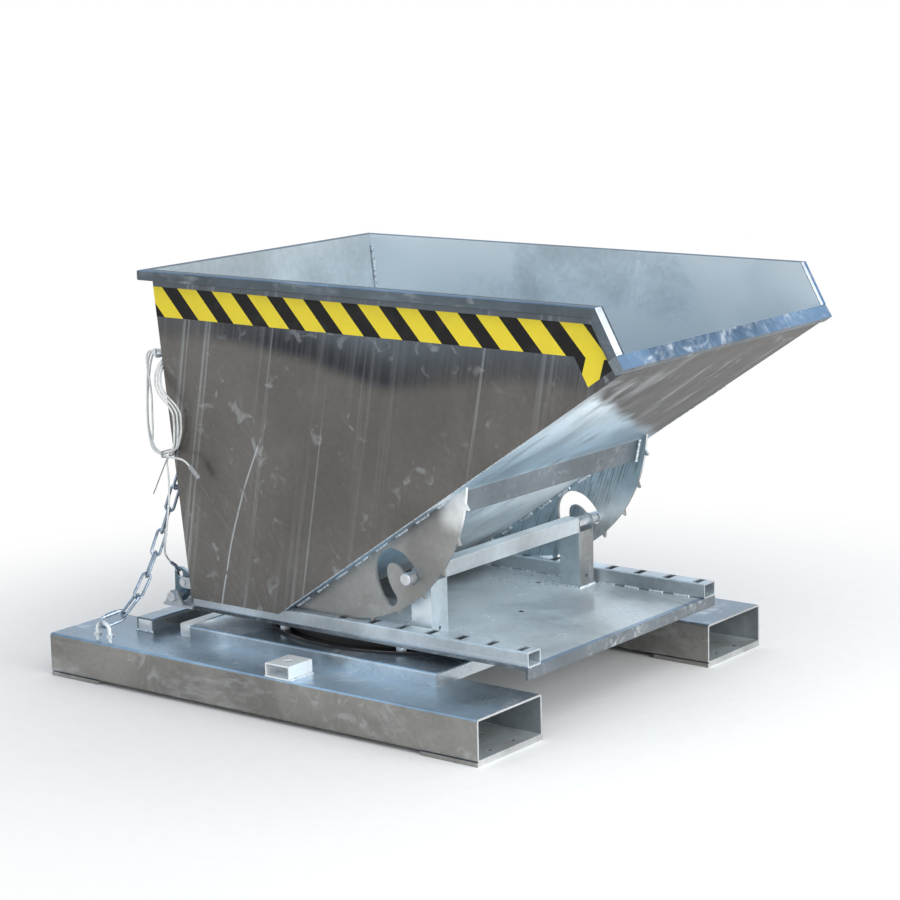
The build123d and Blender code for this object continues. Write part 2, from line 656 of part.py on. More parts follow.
rear_rim = tube_y(-2 * rim_outer, 2 * rim_outer, rim_back - RIM / 2, rim_z, RIM, RIM, RIM_WALL, RIM_CORNER)
rear_rim = split(rear_rim, bisect_by=near_mitre, keep=Keep.BOTTOM)
far_mitre = Plane((rim_back, WALL_OUTER, rim_z), x_dir=(0, 0, 1), z_dir=(1, 1, 0))
put("rim_rear", split(rear_rim, bisect_by=far_mitre, keep=Keep.BOTTOM))

# Stiffener: an angle welded by both toes across the floor's underside, between the rockers
half_leg = STIFFENER_LEG / sqrt(2)
upper_toe = step(wall_foot, (SLOPE, STIFFENER_ALONG))
ridge = step(upper_toe, (SLOPE, -half_leg), (SQUARE, -half_leg))
lower_toe = step(upper_toe, (SLOPE, -2 * half_leg))
thick = STIFFENER_SHEET * sqrt(2)
rocker_in = RAIL_Y - ROCKER_THICK / 2
put("stiffener", plate(face(upper_toe, ridge, lower_toe, step(lower_toe, (SLOPE, thick)),
                            step(ridge, (SQUARE, thick)), step(upper_toe, (SLOPE, -thick))), -rocker_in, rocker_in))

# Striped tape: a strip under the rim and one down the front edge, mitred where they meet
tape_high = Z_RIM - TAPE_DROP
tape_low = tape_high - TAPE_WIDTH
front_line = step(front_top, (INWARD, TAPE_FRONT_INSET))
back_line = step(front_line, (INWARD, TAPE_FRONT_WIDTH))
floor_line = step(wall_foot, (SQUARE, TAPE_FLOOR_INSET))
corner_high = meet((0, tape_high), (1, 0), front_line, FRONT)
corner_low = meet((0, tape_low), (1, 0), back_line, FRONT)
top_strip = face((rear_x(tape_low), tape_low), corner_low, corner_high, (rear_x(tape_high), tape_high))
front_strip = face(corner_low, meet(floor_line, SLOPE, back_line, FRONT),
                   meet(floor_line, SLOPE, front_line, FRONT), corner_high)
strips = [plate(strip, -WALL_OUTER - TAPE_THICK, -WALL_OUTER) for strip in (top_strip, front_strip)]
put("hazard_tape_near", *strips)
put("hazard_tape_far", *[far(strip) for strip in strips])

# Latch: a bracket behind the deck carries a lever whose mouth holds the hopper's catch pin
z_latch = Z_DECK + LATCH_RISE
latch = (LATCH_X, z_latch)
catch = (LATCH_X + CATCH_AHEAD, z_latch + CATCH_ABOVE)
cheek_in = CHEEK_GAP / 2
cheek_out = cheek_in + CHEEK_THICK
cheek = make_hull([*disc(latch, CHEEK_ROUND).edges(),
                   Line((LATCH_X - BRACKET_FOOT, Z_DECK), (LATCH_X + BRACKET_FOOT, Z_DECK))])
cheek = cheek - disc(latch, BOLT / 2 + NUT_GAP)
bracket = box(BRACKET_REAR, DECK_REAR, LATCH_Y - cheek_out, LATCH_Y + cheek_out, Z_RING, Z_DECK)
for side in (-1, 1):
    inner = LATCH_Y + side * cheek_in
    outer = LATCH_Y + side * cheek_out
    bracket = bracket + plate(cheek, min(inner, outer), max(inner, outer))
put("latch_bracket", bracket)


def across(y, side=1):
    """Point of the latch's pivot line at a distance from the lever's middle."""
    return (LATCH_X, LATCH_Y + side * y, z_latch)


bolt_end = cheek_out + BOLT_NUT + BOLT_TIP
bolt = rod(across(cheek_out, -1), across(bolt_end), BOLT)
bolt = bolt + hexagon(across(cheek_out, -1), (0, -1, 0), BOLT_FLATS, BOLT_HEAD)
nut = hexagon(across(cheek_out), (0, 1, 0), BOLT_FLATS, BOLT_NUT)
put("latch_pivot_bolt", bolt, nut - rod(across(cheek_out - 1), across(bolt_end), BOLT + 2 * NUT_GAP))
spacers = []
for side in (-1, 1):
    start = across(LATCH_THICK / 2 + SIDE_GAP, side)
    end = across(cheek_in, side)
    bore = rod(start, end, BOLT + 2 * NUT_GAP)
    spacers.append(rod(start, end, BOLT + 2 * SPACER_WALL) - bore)
put("latch_spacers", *spacers)

eye = (LATCH_X, z_latch + LATCH_EYE_RISE)
nose_angle = radians(LATCH_NOSE_ANGLE)
nose = step(latch, ((cos(nose_angle), sin(nose_angle)), LATCH_NOSE_REACH))
catch_reach = sqrt(CATCH_AHEAD ** 2 + CATCH_ABOVE ** 2)
catch_angle = degrees(acos(CATCH_AHEAD / catch_reach))
lever = make_hull([*disc(latch, LATCH_BOSS).edges(), *disc(eye, LATCH_EYE).edges(),
                   *disc(nose, LATCH_NOSE).edges()])
mouth = SlotArc(CenterArc(latch, catch_reach, catch_angle, -LATCH_MOUTH), CATCH_PIN + 2 * CATCH_GAP)
lever = lever - mouth - disc(eye, LATCH_EYE_HOLE / 2) - disc(latch, BOLT / 2 + RUN_GAP)
put("latch_lever", plate(lever, LATCH_Y - LATCH_THICK / 2, LATCH_Y + LATCH_THICK / 2))

lug_foot = catch[1] - LUG_ROUND
lug_head = catch[1] + LUG_ROUND
lug = make_hull([*disc(catch, LUG_ROUND).edges(),
                 Line((rear_x(lug_foot), lug_foot), (rear_x(lug_head), lug_head))])
lug = lug - disc(catch, CATCH_PIN / 2 + NUT_GAP)
lug_in = LATCH_THICK / 2 + LUG_GAP
lug_out = lug_in + LUG_THICK
put("catch_lugs", plate(lug, LATCH_Y - lug_out, LATCH_Y - lug_in), plate(lug, LATCH_Y + lug_in, LATCH_Y + lug_out))
pin_reach = lug_out + CATCH_PROUD
put("catch_pin", rod((catch[0], LATCH_Y - pin_reach, catch[1]), (catch[0], LATCH_Y + pin_reach, catch[1]), CATCH_PIN))

# Turntable lock: a pin that drops through the deck's bracket into the beam or a keeper
lock_end = LOCK_BRACKET / 2
bracket = box(-LOCK_RADIUS, DECK_REAR, -lock_end, lock_end, Z_RING, Z_DECK)
bracket = bracket + rod((-LOCK_RADIUS, 0, Z_RING), (-LOCK_RADIUS, 0, Z_DECK), LOCK_BRACKET)
guide_size = LOCK_PIN + 2 * LOCK_GUIDE_WALL
bracket = bracket - rod((-LOCK_RADIUS, 0, Z_RING - 1), (-LOCK_RADIUS, 0, Z_DECK + 1), guide_size + 2 * NUT_GAP)
put("lock_bracket", bracket)
z_guide = Z_DECK + LOCK_GUIDE_UP
guide = rod((-LOCK_RADIUS, 0, Z_RING - LOCK_GUIDE_DOWN), (-LOCK_RADIUS, 0, z_guide), guide_size)
put("lock_guide", guide - rod((-LOCK_RADIUS, 0, Z_TUBE), (-LOCK_RADIUS, 0, z_guide + 1), LOCK_PIN + 2 * RUN_GAP))
z_dip = Z_TUBE + BEAM_HEIGHT - LOCK_DIP
z_collar = z_guide + SIDE_GAP
z_pin_top = z_collar + LOCK_PIN_UP
lock_pin = rod((-LOCK_RADIUS, 0, z_dip), (-LOCK_RADIUS, 0, z_pin_top), LOCK_PIN)
lock_pin = chamfer([lock_pin.edges().sort_by(Axis.Z)[0], lock_pin.edges().sort_by(Axis.Z)[-1]], LOCK_CHAMFER)
lock_pin = lock_pin + rod((-LOCK_RADIUS, 0, z_collar), (-LOCK_RADIUS, 0, z_collar + LOCK_COLLAR_HEIGHT), LOCK_COLLAR)
z_handle = z_pin_top - LOCK_HANDLE_DROP
grip = LOCK_HANDLE_LENGTH / 2
handle = rod((-LOCK_RADIUS, -grip, z_handle), (-LOCK_RADIUS, grip, z_handle), LOCK_HANDLE)
put("lock_handle", handle)
put("lock_pin", lock_pin - rod((-LOCK_RADIUS, -grip, z_handle), (-LOCK_RADIUS, grip, z_handle),
                               LOCK_HANDLE + 2 * NUT_GAP))

# Chain eye: a bent bar on the near tube with a collar at each foot
half_eye = EYE_SPAN / 2
z_arch = Z_TUBE + EYE_RISE - half_eye
arch = Wire([Line((EYE_X - half_eye, EYE_Y, Z_TUBE), (EYE_X - half_eye, EYE_Y, z_arch)),
             ThreePointArc((EYE_X - half_eye, EYE_Y, z_arch), (EYE_X, EYE_Y, Z_TUBE + EYE_RISE),
                           (EYE_X + half_eye, EYE_Y, z_arch)),
             Line((EYE_X + half_eye, EYE_Y, z_arch), (EYE_X + half_eye, EYE_Y, Z_TUBE))])
put("chain_eye", sweep(Plane(origin=arch @ 0, z_dir=arch % 0) * Circle(EYE_BAR / 2), path=arch))
collars = []
for x in (EYE_X - half_eye, EYE_X + half_eye):
    start = (x, EYE_Y, Z_TUBE + COLLAR_RISE)
    end = (x, EYE_Y, Z_TUBE + COLLAR_RISE + COLLAR_HEIGHT)
    collars.append(rod(start, end, EYE_BAR + 2 * COLLAR_WALL) - rod(start, end, EYE_BAR + 2 * NUT_GAP))
put("chain_eye_collars", *collars)

# Safety chain: links hang as a catenary from the hanger on the rear wall to the eye
z_hanger = Z_WALL + HANGER_RISE
hanger = Vector(rear_x(z_hanger) - HANGER_STANDOFF, HANGER_Y, z_hanger)
eye_top = Vector(EYE_X, EYE_Y, Z_TUBE + EYE_RISE)
span = Vector(hanger.X - eye_top.X, hanger.Y - eye_top.Y, 0)
level = span.normalized()
climb = hanger.Z - eye_top.Z
link_pitch = LINK_LENGTH - CHAIN_BAR - LINK_PLAY
end_overlap = (CHAIN_BAR + LINK_PLAY) / 2
hook_run = HOOK_LENGTH - end_overlap - (EYE_BAR + CHAIN_BAR + EYE_PLAY) / 2
top_run = LINK_LENGTH - end_overlap - (HANGER_BAR + CHAIN_BAR + LINK_PLAY) / 2
straight = sqrt(span.length ** 2 + climb ** 2)
links = ceil((straight * CHAIN_SLACK - hook_run - top_run) / link_pitch)
runs = [hook_run] + [link_pitch] * links + [top_run]


def run_angle(i, low, top):
    """Angle of a run above level, from the low angle at the eye towards the steep top."""
    return top - (top - low) * CHAIN_EASE ** i


def chain_miss(low, top):
    """How far the chain's upper end stands off the hanger, level and upright."""
    angles = [run_angle(i, low, top) for i in range(len(runs))]
    return (sum(run * cos(a) for run, a in zip(runs, angles)) - span.length,
            sum(run * sin(a) for run, a in zip(runs, angles)) - climb)


low = radians(CHAIN_LOW)
top = radians(CHAIN_TOP)
for _ in range(60):
    small = 1e-6
    f0, g0 = chain_miss(low, top)
    f1, g1 = chain_miss(low + small, top)
    f2, g2 = chain_miss(low, top + small)
    a, b, c, d = (f1 - f0) / small, (f2 - f0) / small, (g1 - g0) / small, (g2 - g0) / small
    low = low + (b * g0 - d * f0) / (a * d - b * c) / 2
    top = top + (c * f0 - a * g0) / (a * d - b * c) / 2


def chain_link(middle, along, normal, length, width):
    """Oval ring of bar; length and width are measured on the bar's centre line."""
    plane = Plane(origin=middle, x_dir=along, z_dir=normal)
    path = (plane * SlotOverall(length, width)).wire()
    section = Plane(origin=path @ 0, z_dir=path % 0) * RegularPolygon(CHAIN_BAR / 2, 8)
    return sweep(section, path=path)


# Each link is rolled nearly a quarter turn on the one below, so that the last one suits the hanger
roll = pi / 2 if links % 2 == 0 else pi / 2 - pi / 2 / (links + 1)
joint = eye_top
ring_links = []
for i, run in enumerate(runs):
    angle = run_angle(i, low, top)
    along = level * cos(angle) + Vector(0, 0, 1) * sin(angle)
    level_way = (Vector(1, 0, 0) - along * along.X).normalized()
    normal = level_way * cos(i * roll) + along.cross(level_way) * sin(i * roll)
    low_overlap = (EYE_BAR + CHAIN_BAR + EYE_PLAY) / 2 if i == 0 else end_overlap
    length = HOOK_LENGTH if i == 0 else LINK_LENGTH
    width = HOOK_WIDTH if i == 0 else LINK_WIDTH
    middle = joint + along * (length / 2 - low_overlap)
    piece = chain_link(middle, along, normal, length, width)
    if i == 0:
        side = normal.cross(along) * (HOOK_WIDTH / 2)
        gate_half = along * (HOOK_GATE_LENGTH / 2)
        gate = rod((middle + side - gate_half), (middle + side + gate_half), HOOK_GATE)
        put("chain_snap_hook", piece + gate)
    else:
        ring_links.append(piece)
    joint = joint + along * run
put("chain_links", *ring_links)
pivot = hanger + along * ((HANGER_BAR + CHAIN_BAR + LINK_PLAY) / 2) - Vector(MID_X, 0, 0)
print("chain links", links + 1, "end miss", round((joint - hanger).length, 4),
      "angles", round(degrees(low), 1), round(degrees(top), 1))
print("chain pivot", [round(v, 2) for v in pivot], "axis", [round(v, 5) for v in along.cross(normal)])

# Hanger: a bar staple on the rear wall, square to the last link's hole
bar_way = Vector(0, normal.Y, normal.Z).normalized() * (HANGER_SPAN / 2)
staple = []
for side in (-1, 1):
    outer = hanger + bar_way * side
    inner = Vector(rear_x(outer.Z) + REAR_SHEET / 2, outer.Y, outer.Z)
    staple.extend([inner, outer] if side < 0 else [outer, inner])
put("chain_hanger", bent_bar(staple, HANGER_BEND, HANGER_BAR) - rear_wall)


# Release cable
def biarc(p, t, q, u):
    """Two tangent arcs from a point and heading to another point and heading."""
    v = q - p
    both = t + u
    bend = 2 * (1 - t.dot(u))
    lean = v.dot(both)
    reach = (sqrt(lean ** 2 + bend * v.dot(v)) - lean) / bend
    a = p + t * reach
    b = q - u * reach
    m = (a + b) / 2
    return [TangentArc(p, m, tangent=t), TangentArc(m, q, tangent=b - a)]


coil_y = -WALL_OUTER - COIL_WALL_GAP - CABLE / 2


def coil_nodes(turn):
    """Places and headings of one turn: foot, front, hopper corner, top over the bar, and back."""
    shift = COIL_PITCH * turn
    y = coil_y - shift
    rise = COIL_START_RISE if turn == 0 else COIL_FOOT_RISE
    return [
        (Vector(COIL_FOOT[0], y, COIL_FOOT[1]), Vector(1, 0, rise).normalized()),
        (Vector(COIL_FRONT[0] - COIL_FRONT_STEP * turn, y, COIL_FRONT[1]), Vector(0, 0, 1)),
        (Vector(COIL_CORNER[0], y, COIL_CORNER[1]), Vector(*COIL_CORNER_HEADING).normalized()),
        (Vector(COIL_TOP[0], COIL_TOP_INSET - WALL_OUTER - COIL_TOP_PITCH * turn, COIL_TOP[1]), Vector(-1, 0, 0)),
        (Vector(COIL_BACK[0] + COIL_BACK_STEP * turn ** 2, COIL_BACK_INSET - WALL_OUTER - shift, COIL_BACK[1]),
         Vector(0, 0, -1)),
    ]


tail_end = Vector(*TAIL_END)
tail_heading = Vector(*TAIL_HEADING).normalized()
tail_start = Vector(COIL_FOOT[0], coil_y - COIL_PITCH * COIL_TURNS, COIL_FOOT[1])
nodes = [node for turn in range(COIL_TURNS) for node in coil_nodes(turn)]
nodes.append((tail_start, (tail_end - tail_start).normalized()))
nodes.append((tail_end, tail_heading))
arcs = []
for node, following in zip(nodes, nodes[1:]):
    arcs.extend(biarc(*node, *following))
coil_path = Wire(arcs)
cable_section = Circle(CABLE / 2)
coil_start, coil_heading = nodes[0]
coil = sweep(Plane(origin=coil_start, z_dir=coil_heading) * cable_section, path=coil_path)
put("cable_coil", coil)
put("cable_end_sleeve", rod(tail_end, tail_end + tail_heading * SLEEVE_LENGTH, SLEEVE))

samples = [coil_path @ (i / 1600) for i in range(1601)]
skip = ceil(4 * CABLE / (coil_path.length / 1600))
least = min((samples[i] - samples[j]).length for i in range(0, 1601, 2) for j in range(i + skip, 1601, 2))
print("coil length", round(coil_path.length, 1), "least gap to itself", round(least - CABLE, 2))
print("coil volume ratio", round(coil.volume / (cable_section.area * coil_path.length), 4))
print("coil arc radii", [round(arc.edge().radius, 1) for arc in arcs])

# Shackle round the lever's eye, and the lead from the coil's start down to it
lean = radians(SHACKLE_LEAN)
shackle_way = Vector(-sin(lean), 0, cos(lean))
eye_middle = Vector(LATCH_X, LATCH_Y, eye[1])
reach_in = LATCH_EYE_HOLE / 2 - SHACKLE_BAR / 2 - SIDE_GAP
reach_out = LATCH_EYE + SHACKLE_BAR / 2 + SIDE_GAP
shackle_plane = Plane(eye_middle + shackle_way * ((reach_in + reach_out) / 2), x_dir=(0, 1, 0),
                      z_dir=shackle_way.cross(Vector(0, 1, 0)))
shackle_path = (shackle_plane * RectangleRounded(SHACKLE_WIDTH, reach_out - reach_in, SHACKLE_BEND)).wire()
shackle = sweep(Plane(origin=shackle_path @ 0, z_dir=shackle_path % 0) * Circle(SHACKLE_BAR / 2), path=shackle_path)
ferrule_way = Vector(*FERRULE_HEADING).normalized()
ferrule_start = eye_middle + shackle_way * (reach_out + FERRULE / 2)
lead_end = ferrule_start + ferrule_way * FERRULE_LENGTH
put("cable_shackle", shackle + rod(ferrule_start, lead_end, FERRULE) + Pos(*ferrule_start) * Sphere(FERRULE / 2))

lead_first = coil_start - coil_heading * LEAD_START
lead_last = lead_end + ferrule_way * LEAD_END
lead = [coil_start, lead_first, *[Vector(*point) for point in LEAD_POINTS], lead_last, lead_end]
radii = []
for before, point, after in zip(lead, lead[1:], lead[2:]):
    run_in = point - before
    run_out = after - point
    turn = radians(run_in.get_angle(run_out))
    radii.append(0.45 * min(run_in.length, run_out.length) / tan(turn / 2))
lead_path = FilletPolyline(*lead, radius=radii)
lead_tube = sweep(Plane(origin=lead_path @ 0, z_dir=lead_path % 0) * Circle(CABLE / 2), path=lead_path)
put("release_cable", lead_tube)
lead_area = pi * CABLE ** 2 / 4
print("lead length", round(lead_path.length, 1), "radii", [round(r, 1) for r in radii])
print("lead volume ratio", round(lead_tube.volume / (lead_area * lead_path.length), 4))

# Bar hook that carries the coil, and the tie that binds the coil's foot
hook_z = COIL_TOP[1] - CABLE / 2 - COIL_HANG_GAP - CABLE_HOOK_BAR / 2
hook_y = COIL_TOP_INSET - WALL_OUTER
hook_root = hook_y + CABLE_HOOK_ROOT
hook_end = hook_y - COIL_TOP_PITCH * (COIL_TURNS - 1) - CABLE - CABLE_HOOK_END
hook = bent_bar(((rear_x(hook_z) + REAR_SHEET / 2, hook_root, hook_z), (COIL_TOP[0], hook_root, hook_z),
                 (COIL_TOP[0], hook_end, hook_z), (COIL_TOP[0], hook_end, hook_z + CABLE_HOOK_TIP)),
                CABLE_HOOK_BEND, CABLE_HOOK_BAR)
put("cable_hook", hook - rear_wall)

bundle = COIL_TURNS * COIL_PITCH + CABLE
tie_middle = coil_start + Vector(0, -COIL_TURNS * COIL_PITCH / 2, 0)
inner_width = bundle + 2 * TIE_SIDE_GAP
inner_height = CABLE + 2 * TIE_GAP
tie_hole = RectangleRounded(inner_width, inner_height, CABLE / 2)
tie_band = RectangleRounded(inner_width + 2 * TIE_THICK, inner_height + 2 * TIE_THICK, CABLE / 2 + TIE_THICK)
tie_plane = Plane(tie_middle, x_dir=(0, 1, 0), z_dir=(1, 0, 0))
tie = extrude(tie_plane * (tie_band - tie_hole), TIE_WIDTH / 2, both=True)
strap_start = tie_middle - Vector(0, 0, inner_height / 2 + TIE_THICK / 2)
put("cable_tie", tie + rod(strap_start, TIE_STRAP_END, TIE_STRAP))
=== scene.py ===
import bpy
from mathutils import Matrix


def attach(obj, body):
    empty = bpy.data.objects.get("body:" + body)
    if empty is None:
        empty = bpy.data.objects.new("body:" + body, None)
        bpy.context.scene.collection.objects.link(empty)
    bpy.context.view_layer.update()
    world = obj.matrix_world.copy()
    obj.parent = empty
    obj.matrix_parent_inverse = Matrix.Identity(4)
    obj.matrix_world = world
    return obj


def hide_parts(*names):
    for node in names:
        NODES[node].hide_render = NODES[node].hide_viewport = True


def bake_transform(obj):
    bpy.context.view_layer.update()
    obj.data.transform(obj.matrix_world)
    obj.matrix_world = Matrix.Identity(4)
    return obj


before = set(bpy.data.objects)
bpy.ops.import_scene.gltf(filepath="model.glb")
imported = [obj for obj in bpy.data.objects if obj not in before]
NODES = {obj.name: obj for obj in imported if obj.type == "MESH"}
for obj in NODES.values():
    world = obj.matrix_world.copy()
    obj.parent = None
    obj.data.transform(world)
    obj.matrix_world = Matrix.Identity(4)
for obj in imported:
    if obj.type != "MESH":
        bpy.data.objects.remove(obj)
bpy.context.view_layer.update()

from math import atan2, cos, hypot, radians, sin

import bmesh
import bpy
from bpy.props import FloatProperty, FloatVectorProperty, PointerProperty
from mathutils import Matrix, Vector

bl_info = {
    "name": "Self-tipping hopper",
    "version": (1, 0, 0),
    "blender": (4, 5, 0),
    "location": "3D View > Sidebar > Hopper",
    "description": "Dresses the packed hopper: zinc, tape, welds, cable and stage",
    "category": "Object",
}

# Directions, with the near side at -Y
FORWARD = (1, 0, 0)
TO_FAR = (0, 1, 0)
TO_NEAR = (0, -1, 0)
UP = (0, 0, 1)

# The hopper's outline in metres, as the solids have it
AXIS_X = -0.0495
FLOOR_ANGLE = radians(33.756)
SLOPE = Vector((cos(FLOOR_ANGLE), 0, sin(FLOOR_ANGLE)))
SQUARE = Vector((-sin(FLOOR_ANGLE), 0, cos(FLOOR_ANGLE)))
WALL_FOOT = Vector((-0.1675, 0, 0.1653))
ROCKER_CENTRE = Vector((-0.0295, 0, 0.4723))
ROCKER_TIP = 0.309
ROLLING_RADIUS = 0.300
TOOTH_PITCH = 0.070
TOOTH_ANGLE = TOOTH_PITCH / ROLLING_RADIUS

# Rocker plates: distance that joins two points, slack of a tip's radius, and angle of a sharp edge
JOIN_DISTANCE = 0.00001
TIP_SLACK = 0.0005
SHARP_ANGLE = radians(30)

# Borders between two tones of one solid, in metres: where the second tone starts and where it is full
RIM_OUTER_HALF = (0.3450, 0.3475)
DECK_FOLD = (0.4010, 0.4060)
FLANGE_EDGE = (0.3285, 0.3315)
FLANGE_TOP = (0.1185, 0.1208)

# Hollows of the fork tubes in metres: distances from the middle, heights, and half width of the border
HOLLOW_SIDES = (0.287, 0.477)
HOLLOW_LEVELS = (0.011, 0.085)
HOLLOW_BORDER = 0.0015

# Grain of the zinc: scales of the broad and the fine streaks, and the turn that lays them
WALL_GRAIN = ((13, 13, 0.9), (95, 95, 2.2), (0, -0.18, 0))
FLAT_GRAIN = ((1.6, 13, 13), (3.0, 95, 95), (0, 0, 0.3))
RAIL_GRAIN = ((1.2, 40, 40), (2.0, 160, 160), (0, 0, 0))
CROSS_GRAIN = ((13, 1.6, 13), (95, 3.0, 95), (0, 0, 0))

# The palest that clean zinc gets, and the bare seam inside the walls before that limit
PALEST = (0.85, 0.92, 0.96)
SEAM_TONE = (0.97, 0.98, 0.99)

# Marks on the walls. A lean is the way to the rear per metre down; a place is X at Z 0, before any bow.
STREAK_LEAN = 0.185
STREAK_BANDS = ((-0.510, 0.014), (-0.455, 0.016), (-0.286, 0.006), (-0.142, 0.003), (0.215, 0.008))
RUN_LEAN = 0.342
RUN_PLACE = -0.384
RUN_BOW = 0.45
RUN_BOW_LEVEL = 0.339
SEAM_LEAN = 0.2014
SEAM_PLACE = 0.0672

# Hazard tape in metres: the strip along the rim, and the strip below it down the front edge
TAPE_LOW = 0.727
TAPE_START_X = -0.4405
TAPE_START_Z = 0.786
TAPE_LEAN = 0.92
TAPE_DARK_SHARE = 0.45
STRIP_START = Vector((0.5672, 0, 0.7336))
STRIP_WAY = Vector((0.9613, 0, -0.2756))
STRIP_STRETCH = 1.36

# Weld runs under the hopper: metres up the slope, from the middle and below the sheet, and bead size
ROCKER_RUN = (0.025, 0.500)
ROCKER_FACES = ((0.3020, 0.001, 1.0), (0.2930, 0.003, 1.6))
WALL_RUN = (0.02, 0.72)
WALL_FACE = 0.3352
WALL_DEPTH = 0.0004
STIFFENER_LEG = ((0.507, 0.002), (0.475, 0.033))
STIFFENER_END = 0.2930

# Weld runs and end caps in millimetres from the turntable's axis and the floor
CORNER_FOOT = (-377, 500)
CORNER_HEAD = (-409, 797)
CORNER_SIDE = 332
DECK_TOP = 143
UPRIGHT_FOOT = ((207, 217), (207, 269), (157, 269), (157, 217))
RAIL_SIDE = 277
RAIL_RUNS = ((-340, 150), (215, 450))
TUBE_TOP = 89
KEEPER_END = 31
KEEPER_SIDES = (413, 477)
BEAM_RUN = (-475, -430)
BEAM_END = 366
BEAM_CAP = ((-473.5, 361, 88.5), (-431.5, 364.6, 114.5))
CROSS_BAR_CAP = ((-367.5, 346, 89.5), (-337.5, 349.6, 113.5))

# Rounding of the end caps in metres, and a weld bead's half length and stride as shares of its radius
CAP_ROUNDING = 0.0012
BEAD_HALF_LENGTH = 0.8
BEAD_STRIDE = 1.15

# Levels in metres where the cable's lead passes from the span of one joint to the next
LEAD_CUTS = (0.352, 0.262)

# Lamps in metres: place, target and width
KEY_LAMP = ((2.4, -1.8, 2.8), (0, 0, 0.4), 2.4)
FRONT_LAMP = ((2.9, -0.1, 0.9), (0.1, 0, 0.3), 1.6)
KEY_TINT = (1, 0.98, 0.96)
FRONT_TINT = (1, 0.99, 0.97)

# Camera that was fitted to the photo's edges
CAMERA_PLACE = (3.1091, -3.9912, 1.4508)
CAMERA_TURN = radians(37.91)
CAMERA_RISE = radians(11.20)
CAMERA_ROLL = radians(-1.34)
SENSOR_WIDTH = 36

# Floor in metres: its radius, and where it starts to fade to white and where it is white
FLOOR_RADIUS = 9
FLOOR_FADE = (0.7, 1.7)

# Heights on the unit sphere between which the shown sky turns from white to blue
SKY_RISE = (0.05, 0.6)


# Settings

def colour(name, words, value):
    """A colour that a user may change."""
    return FloatVectorProperty(name=name, description=words, default=value, subtype="COLOR",
                               size=3, min=0, max=1)


def length(name, words, value):
    """A length in metres that a user may change."""
    return FloatProperty(name=name, description=words, default=value, unit="LENGTH", min=0)


def share(name, words, value, top=1.0):
    """A plain factor that a user may change."""
    return FloatProperty(name=name, description=words, default=value, min=0, max=top)


class HopperZinc(bpy.types.PropertyGroup):
    """Tones of the galvanised steel, most of them a shaded and a lit copy of the one zinc: painted shade
    and painted light, with the blue ones a painted sky reflection.
    """
    # Painted shade and light: wall is the outer faces darkened as if they mirrored dark ground, and inside
    # and rear are the inner faces lit, bluish as if they mirrored the sky.
    wall: colour("Outer walls", "Darkened outer faces of the walls", (0.138, 0.131, 0.122))
    inside: colour("Inside", "Inner faces of the side walls", (0.72, 0.80, 0.85))
    rear: colour("Rear inside", "Inner faces of the rear wall and the floor", (0.50, 0.56, 0.59))
    # Painted shade and light: rocker is the outer faces shaded, and rocker_in the inner faces lit bluish.
    rocker: colour("Rockers", "Outer faces of the rockers", (0.29, 0.29, 0.28))
    rocker_in: colour("Rockers inside", "Inner faces of the rockers", (0.50, 0.62, 0.69))
    # Painted light: under is the underside lit up pale.
    under: colour("Underside", "Underside of the floor between the rockers", (0.80, 0.90, 0.95))
    # Painted reflection and shade: under_blue is a mirrored blue sky by the stiffener and the shade on the
    # near side.
    under_blue: colour("Blue underside", "Underside of the floor by the stiffener", (0.19, 0.31, 0.41))
    lip_shade: colour("Under the lip", "Underside of the floor near the lip", (0.070, 0.066, 0.062))
    # Painted light: deck is the lit upper faces.
    deck: colour("Deck", "Upper faces of the deck and the rails", (0.70, 0.77, 0.81))
    # rail, upright, plate, bracket, stiffener and lever are tones for faces that get a paler lit copy
    # where they look up or to the near side: painted light and painted shade.
    rail: colour("Rails", "Sides of the rails, the pan and the cross bar", (0.50, 0.55, 0.58))
    upright: colour("Uprights", "Uprights that carry the guide pins", (0.46, 0.53, 0.57))
    plate: colour("Plates", "Far upright and upper leg of the stiffener", (0.22, 0.225, 0.225))
    bracket: colour("Brackets", "Brackets behind the hopper", (0.62, 0.66, 0.69))
    stiffener: colour("Stiffener", "Angle across the underside", (0.16, 0.19, 0.21))
    lever: colour("Lever", "Latch lever", (0.13, 0.20, 0.25))
    # Painted highlight: pale is the lit copy on tops, keepers, cut ends, the hollows' floors and the
    # rockers' tips.
    pale: colour("Pale", "Highlit zinc, as on the keepers and cut ends", (0.88, 0.90, 0.91))
    # Painted shade: hollow is the shade inside the fork tubes.
    hollow: colour("Hollow", "Insides of the fork tubes", (0.42, 0.46, 0.48))
    tube: colour("Tubes", "Sides of the fork tubes", (0.225, 0.22, 0.205))
    # Painted reflection: tube_top is the upper faces lit and blue as a mirrored sky.
    tube_top: colour("Tube tops", "Upper faces of the fork tubes and pan", (0.41, 0.52, 0.62))
    rim: colour("Rim", "Sides of the rim", (0.105, 0.13, 0.15))
    # Painted reflection: rim_top is a mirrored blue sky. Painted light: rim_front is the lit front ends.
    rim_top: colour("Rim top", "Upper faces of the rim", (0.22, 0.31, 0.41))
    rim_front: colour("Rim front", "Front ends of the rim's legs", (0.72, 0.75, 0.78))
    lip: colour("Lip", "Front and ends of the lip, and edges of the deck", (0.15, 0.175, 0.195))
    # Painted reflection: lip_top and fold are a mirrored blue sky.
    lip_top: colour("Lip top", "Upper face of the lip", (0.13, 0.215, 0.33))
    fold: colour("Fold", "Fold of the deck and outer half of the far leg's end", (0.12, 0.21, 0.35))
    bloom: colour("Bloom", "Pale streaks, scuffs and runs", (0.80, 0.86, 0.90))
    # Painted reflections on the outer walls: a dark band under the tape, and a cool sheen above it.
    band_reflection: colour("Reflection band", "Dark band under the tape", (0.030, 0.033, 0.042))
    sheen: colour("Sheen", "Cool tone above the band", (0.105, 0.127, 0.15))
    weld: colour("Weld", "Zinc-coated weld beads", (0.62, 0.67, 0.71))
    rough: share("Roughness", "Middle roughness of the zinc", 0.34)


